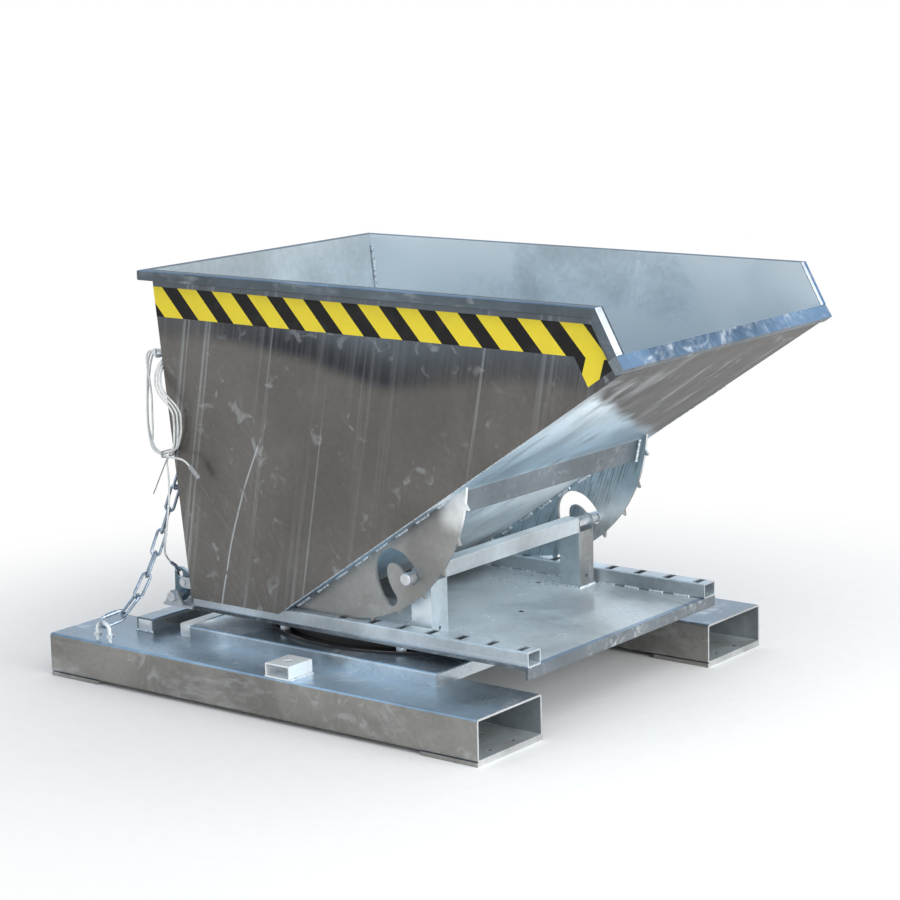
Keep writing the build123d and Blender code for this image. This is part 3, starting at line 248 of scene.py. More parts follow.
class HopperTrim(bpy.types.PropertyGroup):
    """Tape, ring, hardware and plastics."""
    yellow: colour("Yellow", "Hazard tape, light stripe", (0.83, 0.67, 0.045))
    yellow_grime: colour("Yellow grime", "Dirt on the light stripe", (0.52, 0.42, 0.06))
    black: colour("Black", "Hazard tape, dark stripe", (0.008, 0.008, 0.007))
    black_grime: colour("Black grime", "Dirt on the dark stripe", (0.05, 0.05, 0.05))
    stripe: length("Stripe period", "One dark and one light stripe along the tape", 0.091)
    ring: colour("Ring", "Painted slewing ring", (0.012, 0.012, 0.014))
    ring_dust: colour("Ring dust", "Dust on the slewing ring", (0.10, 0.095, 0.09))
    ring_worn: colour("Ring edge", "Worn edge of the ring's flange", (0.20, 0.16, 0.13))
    liner: colour("Liner", "Sliding strip in the ring", (0.03, 0.028, 0.026))
    plated: colour("Plated", "Bolts and pins", (0.70, 0.72, 0.74))
    chain: colour("Chain", "Links, snap hook and shackle", (0.40, 0.46, 0.53))
    sheath: colour("Cable sheath", "Pale sheath of the release cable", (0.72, 0.74, 0.74))
    tie: colour("Tie", "Cable tie and end sleeve", (0.33, 0.34, 0.35))


class HopperCable(bpy.types.PropertyGroup):
    """Release cable."""
    size: length("Diameter", "Outer diameter of the sheath", 0.004)
    coil: length("Coil length", "Length in the turns and the tail", 1.69)


class HopperWeld(bpy.types.PropertyGroup):
    """Weld beads."""
    bead: length("Bead", "Radius of one weld bead", 0.0032)
    stitch: length("Stitch", "Length of one run of beads", 0.034)
    gap: length("Gap", "Space between two runs", 0.026)


class HopperTeeth(bpy.types.PropertyGroup):
    """Teeth of the rockers."""
    lean: length("Lean", "How far the point lies behind the middle of the tooth", 0.0045)
    land: share("Land", "Width of the point, as a share of the tooth's tip", 0.15)


class HopperStage(bpy.types.PropertyGroup):
    """Floor, light and camera."""
    floor: colour("Floor", "Pale floor", (0.90, 0.905, 0.91))
    sky: colour("Sky", "Sky as it is seen and mirrored", (0.46, 0.68, 0.92))
    even: colour("Even light", "Tone of the even light on the pieces", (0.95, 0.975, 1))
    world: share("World", "Strength of the even light", 0.8, 5)
    key: share("Key", "Power of the large lamp in watts", 34.0, 2000)
    front: share("Front", "Power of the low lamp before the hopper in watts", 54.0, 2000)
    lens: FloatProperty(name="Lens", description="Focal length in millimetres", default=104.32, min=1)


# Finishes

class Nodes:
    """Node tree that is built step by step."""

    def __init__(self, tree):
        self.tree = tree

    def wire(self, node, wires):
        """Sets a node's inputs, each to a value or to a wire."""
        for key, value in wires.items():
            if isinstance(value, bpy.types.NodeSocket):
                self.tree.links.new(value, node.inputs[key])
            else:
                node.inputs[key].default_value = value

    def node(self, kind, wires, output=0, **settings):
        """Adds a node and gives one of its outputs."""
        made = self.tree.nodes.new("ShaderNode" + kind)
        for key, value in settings.items():
            setattr(made, key, value)
        self.wire(made, wires)
        return made.outputs[output]

    def ramp(self, value, low, high, start=0.0, end=1.0):
        """Smooth step from one value to another."""
        return self.node("MapRange", {"Value": value, "From Min": low, "From Max": high, "To Min": start,
                                      "To Max": end}, interpolation_type="SMOOTHSTEP")

    def maths(self, what, a, b=0.0, c=0.0):
        """One step of arithmetic."""
        return self.node("Math", {0: a, 1: b, 2: c}, operation=what)

    def product(self, *values):
        """All values multiplied."""
        result = values[0]
        for value in values[1:]:
            result = self.maths("MULTIPLY", result, value)
        return result

    def blend(self, factor, a, b):
        """Mixes two colours, each a colour or a wire."""
        pair = [value if isinstance(value, bpy.types.NodeSocket) else (*value, 1) for value in (a, b)]
        return self.node("Mix", {0: factor, 6: pair[0], 7: pair[1]}, output=2, data_type="RGBA")

    def seen(self):
        """1 where the stage is seen or mirrored, and 0 where it only lights the pieces."""
        path = self.tree.nodes.new("ShaderNodeLightPath").outputs
        direct = self.maths("MAXIMUM", path["Is Camera Ray"], path["Is Glossy Ray"])
        return self.maths("MAXIMUM", direct, path["Is Transmission Ray"])


class Finish(Nodes):
    """Material on object coordinates."""

    def __init__(self, name, metallic=0.0, rough=0.5):
        self.material = bpy.data.materials.new(name)
        self.material.use_nodes = True
        super().__init__(self.material.node_tree)
        self.shader = self.tree.nodes["Principled BSDF"]
        self.wire(self.shader, {"Metallic": metallic, "Roughness": rough})
        source = self.tree.nodes.new("ShaderNodeTexCoord")
        self.place = source.outputs["Object"]
        self.facing = source.outputs["Normal"]

    def noise(self, scale, detail=3.0, at=None, bend=0.0):
        """Noise with so many cells to the metre."""
        return self.node("TexNoise", {"Vector": at or self.place, "Scale": scale, "Detail": detail,
                                      "Distortion": bend})

    def stretched(self, scale, turn=(0, 0, 0)):
        """Object coordinates, turned and then scaled."""
        turned = self.node("Mapping", {"Vector": self.place, "Rotation": turn})
        return self.node("Mapping", {"Vector": turned, "Scale": scale})

    def along(self, vector, direction):
        """Length of a vector in a direction."""
        return self.node("VectorMath", {0: vector, 1: tuple(direction)}, output="Value",
                         operation="DOT_PRODUCT")

    def between(self, value, limits, border):
        """1 between two limits, with a soft border at each."""
        low, high = limits
        return self.product(self.ramp(value, low - border, low + border),
                            self.ramp(value, high + border, high - border))

    def stripe(self, direction, offset, half, sharp, wobble):
        """Line where the length along direction, with some wobble, equals offset."""
        off = self.maths("SUBTRACT", self.along(self.place, direction), offset)
        off = self.maths("SUBTRACT", off, wobble / 2)
        off = self.maths("MULTIPLY_ADD", self.noise(14, 3), wobble, off)
        return self.ramp(self.maths("ABSOLUTE", off), half, sharp)

    def scaled(self, tone, factor):
        """Colour times a factor."""
        return self.node("VectorMath", {0: tone, "Scale": factor}, operation="SCALE")

    def bump(self, height, strength, depth, under=None):
        """Relief, alone or on top of another one."""
        wires = {"Height": height, "Strength": strength, "Distance": depth}
        if under is not None:
            wires["Normal"] = under
        return self.node("Bump", wires)

    def done(self, *objects, **wires):
        """Wires the shader and puts the material on the objects."""
        self.wire(self.shader, {key.replace("_", " "): value for key, value in wires.items()})
        for item in objects:
            item.data.materials.clear()
            item.data.materials.append(self.material)
        return self.material


def zinc_finish(name, nodes, way, shaded_tone, lit_tone, streaks=0.5, metal=0.65, rough=0.0, contrast=0.22,
                glance=1.0, grain=WALL_GRAIN, wear=0.10, patches=0.0, more=None):
    """Galvanised steel, painted lit on the faces that look along way and shaded on the others: painted
    light and painted shade.

    glance is how white the steel gets at a grazing angle, wear is how strong the scratches are, and
    patches is how strong the white clouds are, painted glints that are strongest on the lit faces.
    more takes the finish, the tone and the share of the lit faces, and gives a changed tone.
    """
    zinc = bpy.context.scene.hopper_zinc
    f = Finish(name, metallic=metal)
    # Painted light and shade: the lit tone where a face looks along way, the shaded tone elsewhere.
    lit_share = f.ramp(f.along(f.facing, way), 0.25, 0.7)
    tone = f.blend(lit_share, shaded_tone, lit_tone)
    if more:
        tone = more(f, tone, lit_share)

    clouds = f.noise(5.5, 5, bend=0.4)
    tone = f.scaled(tone, f.ramp(clouds, 0.3, 0.7, 1 - contrast, 1 + contrast))
    spangle = f.node("TexVoronoi", {"Vector": f.place, "Scale": 110.0}, output="Color")
    cell = f.along(spangle, (0.34, 0.33, 0.33))
    tone = f.scaled(tone, f.ramp(cell, 0.1, 0.9, 0.95, 1.05))

    broad, narrow, turn = grain
    veil = f.noise(1.0, 4, f.stretched(broad, turn), 0.3)
    fine = f.noise(1.0, 4, f.stretched(narrow, turn))
    lines = f.product(f.ramp(veil, 0.47, 0.72), f.ramp(fine, 0.40, 0.72))
    tone = f.blend(f.maths("MULTIPLY", lines, streaks * 0.7), tone, zinc.bloom)

    scuff = f.product(f.ramp(f.noise(30, 4, bend=0.8), 0.58, 0.70), f.ramp(f.noise(6, 2), 0.42, 0.62))
    tone = f.blend(f.maths("MULTIPLY", scuff, 0.16), tone, zinc.bloom)
    # Painted glints: white clouds of the palest tone, strongest on the lit faces.
    painted_glint = f.product(f.ramp(f.noise(9, 4, bend=1.5), 0.52, 0.70), f.ramp(f.noise(60, 3), 0.3, 0.6),
                      patches)
    tone = f.blend(f.product(painted_glint, f.ramp(lit_share, 0, 1, 0.35, 1.0)), tone, zinc.pale)
    marks = f.noise(5, 2)
    for lie, cross, start in (((0.4, 0.7, 0.2), 3.0, 0.50), ((1.1, -0.5, 0.6), 4.0, 0.53)):
        cut = f.noise(1.0, 2, f.stretched((75, cross, cross), lie))
        thin = f.ramp(f.maths("ABSOLUTE", f.maths("SUBTRACT", cut, 0.5)), 0.010, 0.003)
        tone = f.blend(f.product(thin, f.ramp(marks, start, start + 0.14), wear), tone, zinc.bloom)
    tone = f.node("VectorMath", {0: tone, 1: PALEST}, operation="MINIMUM")

    shine = f.maths("MULTIPLY_ADD", lines, 0.07, f.ramp(clouds, 0.3, 0.7, -0.04, 0.08))
    middle = zinc.rough + rough
    dullness = f.maths("ADD", shine, f.ramp(cell, 0.0, 1.0, middle - 0.008, middle + 0.008))
    waves = f.bump(f.noise(9, 2), 0.22, 0.004)
    skin = f.bump(f.noise(320, 2), 0.10, 0.0005, waves)
    return f.done(*[NODES[node] for node in nodes], Base_Color=tone, Roughness=dullness, Normal=skin,
                  Specular_Tint=(glance, glance, glance, 1))


def wall_marks(f, tone, inside):
    """Outside: a painted cool sheen, a painted dark reflection as a band under the tape, streaks and a
    long zinc run.

    Inside: a bare seam, and the far wall's ends and foot painted paler, as if better lit.
    """
    zinc = bpy.context.scene.hopper_zinc
    x = f.along(f.place, FORWARD)
    z = f.along(f.place, UP)
    outside = f.maths("SUBTRACT", 1.0, inside)
    hairs = f.ramp(f.noise(1.0, 3, f.stretched((170, 170, 2.5), WALL_GRAIN[2])), 0.38, 0.62)

    # The painted reflection band's line falls to the front and rises a little at the end
    line = f.maths("ADD", f.ramp(x, -0.20, 0.12, 0.706, 0.655), f.ramp(x, 0.12, 0.40, 0.0, 0.030))
    line = f.maths("MULTIPLY_ADD", f.noise(5, 3), 0.05, f.maths("SUBTRACT", line, 0.025))
    above = f.maths("SUBTRACT", z, line)
    strong = f.maths("MULTIPLY", f.ramp(x, -0.36, -0.2, 0.45, 1.0), f.ramp(x, 0.06, 0.3, 1.0, 0.55))
    # Painted reflections: a cool sheen above the line, and a dark band along it.
    tone = f.blend(f.product(f.ramp(above, -0.03, 0.05), outside, 0.9), tone, zinc.sheen)
    band = f.product(f.ramp(above, -0.035, 0.0), f.ramp(above, 0.075, 0.005), strong, outside)
    tone = f.blend(f.product(band, f.ramp(hairs, 0, 1, 0.98, 0.72)), tone, zinc.band_reflection)

    lean = f.along(f.place, (1, 0, -STREAK_LEAN))
    for offset, half in STREAK_BANDS:
        off = f.maths("ABSOLUTE", f.maths("SUBTRACT", lean, offset))
        tone = f.blend(f.product(f.ramp(off, half, half * 0.4), hairs, outside, 0.15), tone, zinc.bloom)
    rise = f.maths("SUBTRACT", z, RUN_BOW_LEVEL)
    bow = f.maths("MULTIPLY_ADD", f.product(rise, rise), RUN_BOW, RUN_PLACE)
    run = f.product(f.stripe((1, 0, -RUN_LEAN), bow, 0.0030, 0.0006, 0.006), f.ramp(z, 0.56, 0.48),
                    f.ramp(f.noise(40, 2), 0.34, 0.48), outside)
    tone = f.blend(f.maths("MULTIPLY", run, 0.36), tone, zinc.bloom)

    seam = f.product(f.stripe((1, 0, -SEAM_LEAN), SEAM_PLACE, 0.007, 0.001, 0.006),
                     f.ramp(z, 0.50, 0.72, 0.1, 1.0), f.ramp(f.noise(30, 3), 0.40, 0.50), inside)
    tone = f.blend(seam, tone, SEAM_TONE)
    # Painted light: the far wall's inner face paler at the ends and low down.
    paler = f.maths("ADD", f.ramp(x, 0.0, -0.36, 0.0, 0.40), f.ramp(x, 0.18, 0.48, 0.0, 0.34))
    paler = f.maths("ADD", paler, f.ramp(z, 0.72, 0.62, 0.0, 0.42))
    far = f.ramp(f.along(f.place, TO_FAR), -0.1, 0.1)
    return f.scaled(tone, f.maths("MULTIPLY_ADD", f.maths("MULTIPLY", inside, far), paler, 1.0))


def floor_marks(f, tone, inside):
    """Underside: painted light between the rockers, with painted shade at the foot and on the near side.

    By the stiffener it is a painted blue sky reflection, and near the lip it is painted shade, streaked.
    The inside is a little paler, painted light.
    """
    zinc = bpy.context.scene.hopper_zinc
    up_slope = f.maths("SUBTRACT", f.along(f.place, SLOPE), WALL_FOOT.dot(SLOPE))
    beneath = f.maths("SUBTRACT", 1.0, inside)
    # Painted reflection: blue by the stiffener, as a mirrored sky.
    cool = f.product(f.ramp(up_slope, 0.47, 0.53), f.ramp(up_slope, 0.95, 0.55), beneath, 0.8)
    tone = f.blend(cool, tone, zinc.under_blue)
    across = f.along(f.place, TO_FAR)
    # Painted shade on the near side.
    shaded = f.product(f.ramp(up_slope, 0.47, 0.42), f.ramp(across, 0.10, -0.20), beneath, 0.85)
    tone = f.blend(shaded, tone, zinc.under_blue)
    # Painted shade: the underside darker at the foot.
    foot = f.maths("MULTIPLY", f.ramp(up_slope, 0.15, 0.04), beneath)
    tone = f.scaled(tone, f.ramp(foot, 0, 1, 1.0, 0.5))

    drip = f.noise(1.0, 5, f.stretched((3.0, 26, 70), (0, FLOOR_ANGLE, 0)), 0.3)
    dashes = f.product(f.ramp(drip, 0.52, 0.66), f.ramp(f.noise(6, 3), 0.42, 0.60), beneath)
    tone = f.scaled(tone, f.ramp(dashes, 0, 1, 1.0, 0.62))
    skew = f.maths("MULTIPLY_ADD", across, 0.57, up_slope)
    wander = f.maths("MULTIPLY_ADD", f.noise(16, 4), 0.08, skew)
    shade = f.maths("MULTIPLY", f.ramp(wander, 0.725, 0.765), beneath)
    tone = f.blend(shade, tone, zinc.lip_shade)
    tone = f.blend(f.product(dashes, shade, 0.22), tone, zinc.bloom)
    # Painted light: the inside a little paler.
    return f.scaled(tone, f.ramp(inside, 0, 1, 1.0, 1.1))


def rim_marks(f, tone, top):
    """Legs of the rim: fronts painted white as lit, and the far one's outer half a painted blue sky
    reflection.
    """
    zinc = bpy.context.scene.hopper_zinc
    outer = f.ramp(f.along(f.place, TO_FAR), *RIM_OUTER_HALF)
    front = f.ramp(f.along(f.facing, FORWARD), 0.35, 0.8)
    return f.blend(front, tone, f.blend(outer, zinc.rim_front, zinc.fold))


def deck_marks(f, tone, top):
    """Deck: painted light behind the uprights, painted shade far under the hopper and in front, and a
    painted blue sky reflection on the fold.
    """
    zinc = bpy.context.scene.hopper_zinc
    x = f.along(f.place, FORWARD)
    # Painted light and shade along the deck.
    light = f.product(f.ramp(x, -0.14, -0.02, 0.45, 1.2), f.ramp(x, 0.05, 0.34, 1.0, 0.66))
    tone = f.scaled(tone, light)
    # Painted reflection on the fold.
    fold = f.product(f.ramp(x, *DECK_FOLD), top, 0.85)
    return f.blend(fold, tone, zinc.fold)


def tube_marks(f, tone, top):
    """Fork tubes: upper faces painted darker at both ends and on the far tube, hollows in painted shade
    with lit floors, and painted highlights on the ends.
    """
    zinc = bpy.context.scene.hopper_zinc
    x = f.along(f.place, FORWARD)
    y = f.along(f.place, TO_FAR)
    z = f.along(f.place, UP)
    # Painted shade on the upper faces at both ends and on the far tube.
    darker = f.maths("ADD", f.ramp(x, -0.55, -0.2, -0.40, 0.0), f.ramp(x, 0.0, 0.40, 0.0, -0.28))
    darker = f.maths("ADD", darker, f.ramp(y, -0.1, 0.1, 0.0, -0.22))
    tone = f.scaled(tone, f.maths("MULTIPLY_ADD", top, darker, 1.08))
    # Painted shade in the hollows, with their floors painted lit.
    within = f.product(f.between(f.maths("ABSOLUTE", y), HOLLOW_SIDES, HOLLOW_BORDER),
                       f.between(z, HOLLOW_LEVELS, HOLLOW_BORDER))
    tone = f.blend(within, tone, f.blend(top, zinc.hollow, zinc.pale))
    # Painted highlight on the end faces.
    ends = f.ramp(f.maths("ABSOLUTE", f.along(f.facing, FORWARD)), 0.6, 0.9)
    return f.blend(f.maths("MULTIPLY", ends, 0.4), tone, zinc.pale)


def rocker_marks(f, tone, inner):
    """Inner face: paler low in front, with dark runs. Outer face: a painted highlight at the tip."""
    zinc = bpy.context.scene.hopper_zinc
    x = f.along(f.place, FORWARD)
    z = f.along(f.place, UP)
    low = f.product(f.ramp(z, 0.37, 0.28), f.ramp(x, 0.08, 0.17), inner, 0.75)
    tone = f.blend(low, tone, zinc.pale)
    outer = f.maths("SUBTRACT", 1.0, inner)
    # Painted highlight at the outer face's tip.
    tip = f.product(f.ramp(x, 0.195, 0.235), f.ramp(z, 0.36, 0.40), outer, 0.8)
    tone = f.blend(tip, tone, zinc.pale)
    runs = f.noise(1.0, 4, f.stretched((190, 190, 9.0), (0, -0.35, 0)), 0.4)
    patch = f.ramp(f.noise(7, 3), 0.40, 0.60)
    return f.scaled(tone, f.ramp(f.product(f.ramp(runs, 0.46, 0.62), patch, inner), 0, 1, 1.0, 0.55))


def plated_finish(name, tone, wear=0.35):
    """Bright plated steel on bolts, chain and pins, dulled in patches."""
    f = Finish(name, metallic=0.85)
    patch = f.noise(55, 4)
    fine = f.noise(700, 2)
    dulled = [part * 0.45 for part in tone]
    body = f.blend(f.maths("MULTIPLY", f.ramp(patch, 0.35, 0.7), wear), tone, dulled)
    rough = f.maths("MULTIPLY_ADD", fine, 0.06, f.ramp(patch, 0.3, 0.7, 0.22, 0.40))
    f.done(Base_Color=body, Roughness=rough, Normal=f.bump(fine, 0.15, 0.0003))
    return f


def paint_finish():
    """Satin paint on the slewing ring, dusty in patches and worn on the flange's edge."""
    trim = bpy.context.scene.hopper_trim
    f = Finish("ring_paint", metallic=0.15)
    dust = f.ramp(f.noise(12, 5), 0.48, 0.75)
    body = f.blend(f.maths("MULTIPLY", dust, 0.22), trim.ring, trim.ring_dust)
    flat = f.node("VectorMath", {0: f.place, 1: (-AXIS_X, 0, 0)}, operation="ADD")
    flat = f.node("VectorMath", {0: flat, 1: (1, 1, 0)}, operation="MULTIPLY")
    reach = f.node("VectorMath", {0: flat}, output="Value", operation="LENGTH")
    edge = f.product(f.ramp(reach, *FLANGE_EDGE), f.ramp(f.along(f.place, UP), *FLANGE_TOP),
                     f.ramp(f.noise(16, 4), 0.36, 0.55))
    body = f.blend(f.maths("MULTIPLY", edge, 0.8), body, trim.ring_worn)
    f.done(NODES["ring_lower"], NODES["ring_upper"], Base_Color=body,
           Roughness=f.ramp(dust, 0, 1, 0.32, 0.6), Normal=f.bump(f.noise(240, 3), 0.12, 0.0006))


def plastic_finish(name, tone, rough, mottle=0.12):
    """Moulded or drawn plastic with a little mottle and fine grain."""
    f = Finish(name)
    patch = f.noise(60, 3)
    body = f.scaled(tuple(tone), f.ramp(patch, 0.3, 0.7, 1 - mottle, 1 + mottle))
    f.done(Base_Color=body, Roughness=f.ramp(patch, 0.3, 0.7, rough - 0.06, rough + 0.06),
           Normal=f.bump(f.noise(900, 2), 0.1, 0.0002))
    return f


def tape_finish():
    """Slanted stripes along the tape; the strip down the front edge has its own run."""
    trim = bpy.context.scene.hopper_trim
    f = Finish("hazard_stripes", rough=0.4)
    flat = f.along(f.place, (1, 0, TAPE_LEAN))
    flat = f.maths("SUBTRACT", flat, TAPE_START_X + TAPE_LEAN * TAPE_START_Z)
    down = f.maths("SUBTRACT", f.along(f.place, STRIP_WAY), STRIP_WAY.dot(STRIP_START))
    down = f.maths("MULTIPLY_ADD", down, STRIP_STRETCH, trim.stripe * TAPE_DARK_SHARE)
    below = f.maths("LESS_THAN", f.along(f.place, UP), TAPE_LOW)
    run = f.node("Mix", {0: below, 2: flat, 3: down}, data_type="FLOAT")
    turn = f.maths("FRACT", f.maths("DIVIDE", run, trim.stripe))
    dark = f.maths("LESS_THAN", turn, TAPE_DARK_SHARE)
    grime = f.ramp(f.noise(24, 5), 0.45, 0.75)
    light = f.blend(f.maths("MULTIPLY", grime, 0.16), trim.yellow, trim.yellow_grime)
    deep = f.blend(f.maths("MULTIPLY", grime, 0.3), trim.black, trim.black_grime)
    f.done(NODES["hazard_tape_near"], NODES["hazard_tape_far"], Base_Color=f.blend(dark, light, deep),
           Specular_IOR_Level=0.2, Roughness=f.ramp(f.noise(30, 3), 0.3, 0.7, 0.35, 0.5),
           Normal=f.bump(f.noise(900, 2), 0.08, 0.0002))


# Modelling helpers

def as_piece(name, bm, body, finish=None):
    """Makes a smooth object from a bmesh, gives it a finish and lets it ride on a body."""
    mesh = bpy.data.meshes.new(name)
    bm.to_mesh(mesh)
    bm.free()
    mesh.polygons.foreach_set("use_smooth", [True] * len(mesh.polygons))
    item = bpy.data.objects.new(name, mesh)
    bpy.context.scene.collection.objects.link(item)
    if finish is not None:
        mesh.materials.append(finish)
    if body:
        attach(item, body)
    return item


def spline(name, points, thick=0.0):
    """Curve of one NURBS spline with the given control points."""
    curve = bpy.data.curves.new(name, "CURVE")
    curve.dimensions = "3D"
    run = curve.splines.new("NURBS")
    run.points.add(len(points) - 1)
    for knot, point in zip(run.points, points):
        knot.co = (*point, 1)
    run.order_u = 3
    run.use_endpoint_u = True
    run.resolution_u = 8
    curve.bevel_depth = thick
    curve.bevel_resolution = 4
    curve.use_fill_caps = thick > 0
    item = bpy.data.objects.new(name, curve)
    bpy.context.scene.collection.objects.link(item)
    return item


def mm(x, y, z):
    """Point given in millimetres from the turntable's axis and the floor."""
    return Vector((x / 1000 + AXIS_X, y / 1000, z / 1000))


def on_floor(along, y, below=0.0):
    """Point on the sloped floor's underside, in metres up the slope from the wall's foot."""
    return WALL_FOOT + SLOPE * along - SQUARE * below + Vector((0, y, 0))


def weld(bm, start, end, size=1.0, stitched=True):
    """Row of flattened beads between two points, in runs with gaps or all along."""
    made = bpy.context.scene.hopper_weld
    radius = made.bead * size
    way = (end - start).normalized()
    turn = way.to_track_quat("Z", "Y").to_matrix().to_4x4()
    bead = bmesh.new()
    bmesh.ops.create_uvsphere(bead, u_segments=8, v_segments=4, radius=radius,
                              matrix=turn @ Matrix.Diagonal((1, 1, BEAD_HALF_LENGTH, 1)))
    shape = bpy.data.meshes.new("bead")
    bead.to_mesh(shape)
    bead.free()
    shape.transform(Matrix.Translation(start))
    stride = radius * BEAD_STRIDE
    for step in range(int((end - start).length / stride) + 1):
        if not stitched or step * stride % (made.stitch + made.gap) < made.stitch:
            bm.from_mesh(shape)
        shape.transform(Matrix.Translation(way * stride))
    bpy.data.meshes.remove(shape)


# Operators

class HOPPER_OT_zinc(bpy.types.Operator):
    """Gives the galvanised sheets, tubes and plates their finish"""
    bl_idname = "hopper.zinc"
    bl_label = "Galvanised steel"

    def execute(self, context):
        z = context.scene.hopper_zinc
        # Each finish gets a shaded and a lit tone of the one zinc, by which way a face looks: painted
        # shade and painted light.
        for side, inward in (("near", TO_FAR), ("far", TO_NEAR)):
            zinc_finish("zinc_wall_" + side, ["side_wall_" + side], inward, z.wall, z.inside, streaks=0.28,
                        metal=0.75, contrast=0.14, wear=0.05, more=wall_marks)
            zinc_finish("zinc_rocker_" + side, ["rocker_" + side], inward, z.rocker, z.rocker_in,
                        streaks=0.3, wear=0.06, more=rocker_marks)
        zinc_finish("zinc_rear", ["rear_wall"], FORWARD, z.wall, z.rear, streaks=0.3, contrast=0.14,
                    wear=0.03)
        zinc_finish("zinc_floor", ["floor_sheet"], UP, z.under, z.rear, streaks=0.2, metal=0.25,
                    glance=0.1, more=floor_marks)
        zinc_finish("zinc_rim", ["rim_near", "rim_far", "rim_rear"], UP, z.rim, z.rim_top, streaks=0.6,
                    glance=0.35, grain=FLAT_GRAIN, more=rim_marks)
        zinc_finish("zinc_lip", ["front_lip"], UP, z.lip, z.lip_top, streaks=0.6, contrast=0.45,
                    glance=0.4, patches=0.8)
        zinc_finish("zinc_tube", ["fork_tube_near", "fork_tube_far", "foot_plates"], UP, z.tube,
                    z.tube_top, streaks=0.3, metal=0.75, rough=-0.06, grain=FLAT_GRAIN, patches=0.5,
                    more=tube_marks)
        zinc_finish("zinc_pan", ["base_pan", "rear_beam"], UP, z.rail, z.tube_top, streaks=0.4, metal=0.8,
                    rough=-0.12, contrast=0.4, grain=FLAT_GRAIN, patches=0.7)
        zinc_finish("zinc_deck", ["deck_plate"], UP, z.lip, z.deck, streaks=0.7, metal=0.38, rough=-0.14,
                    contrast=0.2, grain=FLAT_GRAIN, patches=0.12, more=deck_marks)
        zinc_finish("zinc_rail", ["rail_near", "rail_far"], UP, z.rail, z.deck, streaks=0.8, contrast=0.3,
                    grain=RAIL_GRAIN)
        zinc_finish("zinc_upright_near", ["upright_near"], TO_NEAR, z.upright, z.pale, streaks=0.4)
        zinc_finish("zinc_upright_far", ["upright_far"], TO_NEAR, z.plate, z.upright, streaks=0.4)
        zinc_finish("zinc_cross_bar", ["cross_bar"], UP, z.rail, z.pale, streaks=0.4, grain=CROSS_GRAIN)
        brackets = ["latch_bracket", "lock_bracket", "lock_guide", "catch_lugs", "chain_hanger",
                    "cable_hook"]
        zinc_finish("zinc_bracket", brackets, UP, z.bracket, z.pale, streaks=0.3)
        zinc_finish("zinc_stiffener", ["stiffener"], UP, z.stiffener, z.plate, streaks=0.3,
                    grain=FLAT_GRAIN)
        zinc_finish("zinc_lever", ["latch_lever"], UP, z.lever, z.pale, streaks=0.3)
        # Painted highlight: keepers, chain eye and rear cross bar in the lit tone all over.
        zinc_finish("zinc_pale", ["lock_keepers", "chain_eye", "rear_cross_bar"], UP, z.pale, z.pale,
                    streaks=0.2, metal=0.35, contrast=0.1, grain=FLAT_GRAIN)
        return {"FINISHED"}


class HOPPER_OT_hardware(bpy.types.Operator):
    """Gives the ring, bolts, chain, pins and tape their finish"""
    bl_idname = "hopper.hardware"
    bl_label = "Ring, hardware and tape"

    def execute(self, context):
        trim = context.scene.hopper_trim
        paint_finish()
        plastic_finish("liner_nylon", trim.liner, 0.5).done(NODES["ring_liner"])
        plated_finish("plated_bolts", trim.plated).done(
            NODES["ring_bolts"], NODES["latch_pivot_bolt"], NODES["chain_eye_collars"])
        plated_finish("plated_chain", trim.chain, 0.6).done(
            NODES["chain_links"], NODES["chain_snap_hook"], NODES["cable_shackle"])
        plated_finish("turned_pins", trim.plated, 0.3).done(
            NODES["tilt_pin_near"], NODES["tilt_pin_far"], NODES["catch_pin"], NODES["lock_pin"],
            NODES["lock_handle"], NODES["latch_spacers"])
        tape_finish()
        return {"FINISHED"}


class HOPPER_OT_rockers(bpy.types.Operator):
    """Makes the rockers' plates with teeth that run out to a slanted point"""
    bl_idname = "hopper.rockers"
    bl_label = "Rocker plates"

    def execute(self, context):
        point = context.scene.hopper_teeth
        for side in ("near", "far"):
            node = NODES["rocker_" + side]
            bm = bmesh.new()
            bm.from_mesh(node.data)
            bmesh.ops.remove_doubles(bm, verts=bm.verts, dist=JOIN_DISTANCE)
            for vert in bm.verts:
                arm = vert.co - ROCKER_CENTRE
                if abs(hypot(arm.x, arm.z) - ROCKER_TIP) < TIP_SLACK:
                    angle = atan2(arm.x, -arm.z)
                    middle = round(angle / TOOTH_ANGLE) * TOOTH_ANGLE
                    angle = middle - point.lean / ROCKER_TIP + (angle - middle) * point.land
                    vert.co.x = ROCKER_CENTRE.x + ROCKER_TIP * sin(angle)
                    vert.co.z = ROCKER_CENTRE.z - ROCKER_TIP * cos(angle)
            for edge in bm.edges:
                edge.smooth = edge.calc_face_angle(0) < SHARP_ANGLE
            finish = node.data.materials[0]
            plate = as_piece("rocker_plate_" + side, bm, "hopper", finish)
            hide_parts("rocker_" + side)
        return {"FINISHED"}


class HOPPER_OT_end_caps(bpy.types.Operator):
    """Closes the ends of the rear beam and the rear cross bar"""
    bl_idname = "hopper.end_caps"
    bl_label = "End caps"

    def execute(self, context):
        bm = bmesh.new()
        for side in (-1, 1):
            for corners in (BEAM_CAP, CROSS_BAR_CAP):
                self.cap(bm, *[mm(x, side * y, z) for x, y, z in corners])
        finish = NODES["rear_cross_bar"].data.materials[0]
        as_piece("bar_end_caps", bm, "base", finish)
        return {"FINISHED"}

    def cap(self, bm, low, high):
        """Thin plate between two corners, with rounded edges."""
        span = high - low
        place = Matrix.Translation((low + high) / 2) @ Matrix.Diagonal((span.x, abs(span.y), span.z, 1))
        verts = bmesh.ops.create_cube(bm, size=1, matrix=place)["verts"]
        edges = list({edge for vert in verts for edge in vert.link_edges})
        bmesh.ops.bevel(bm, geom=edges, offset=CAP_ROUNDING, segments=2, profile=0.5, affect="EDGES",
                        material=-1)


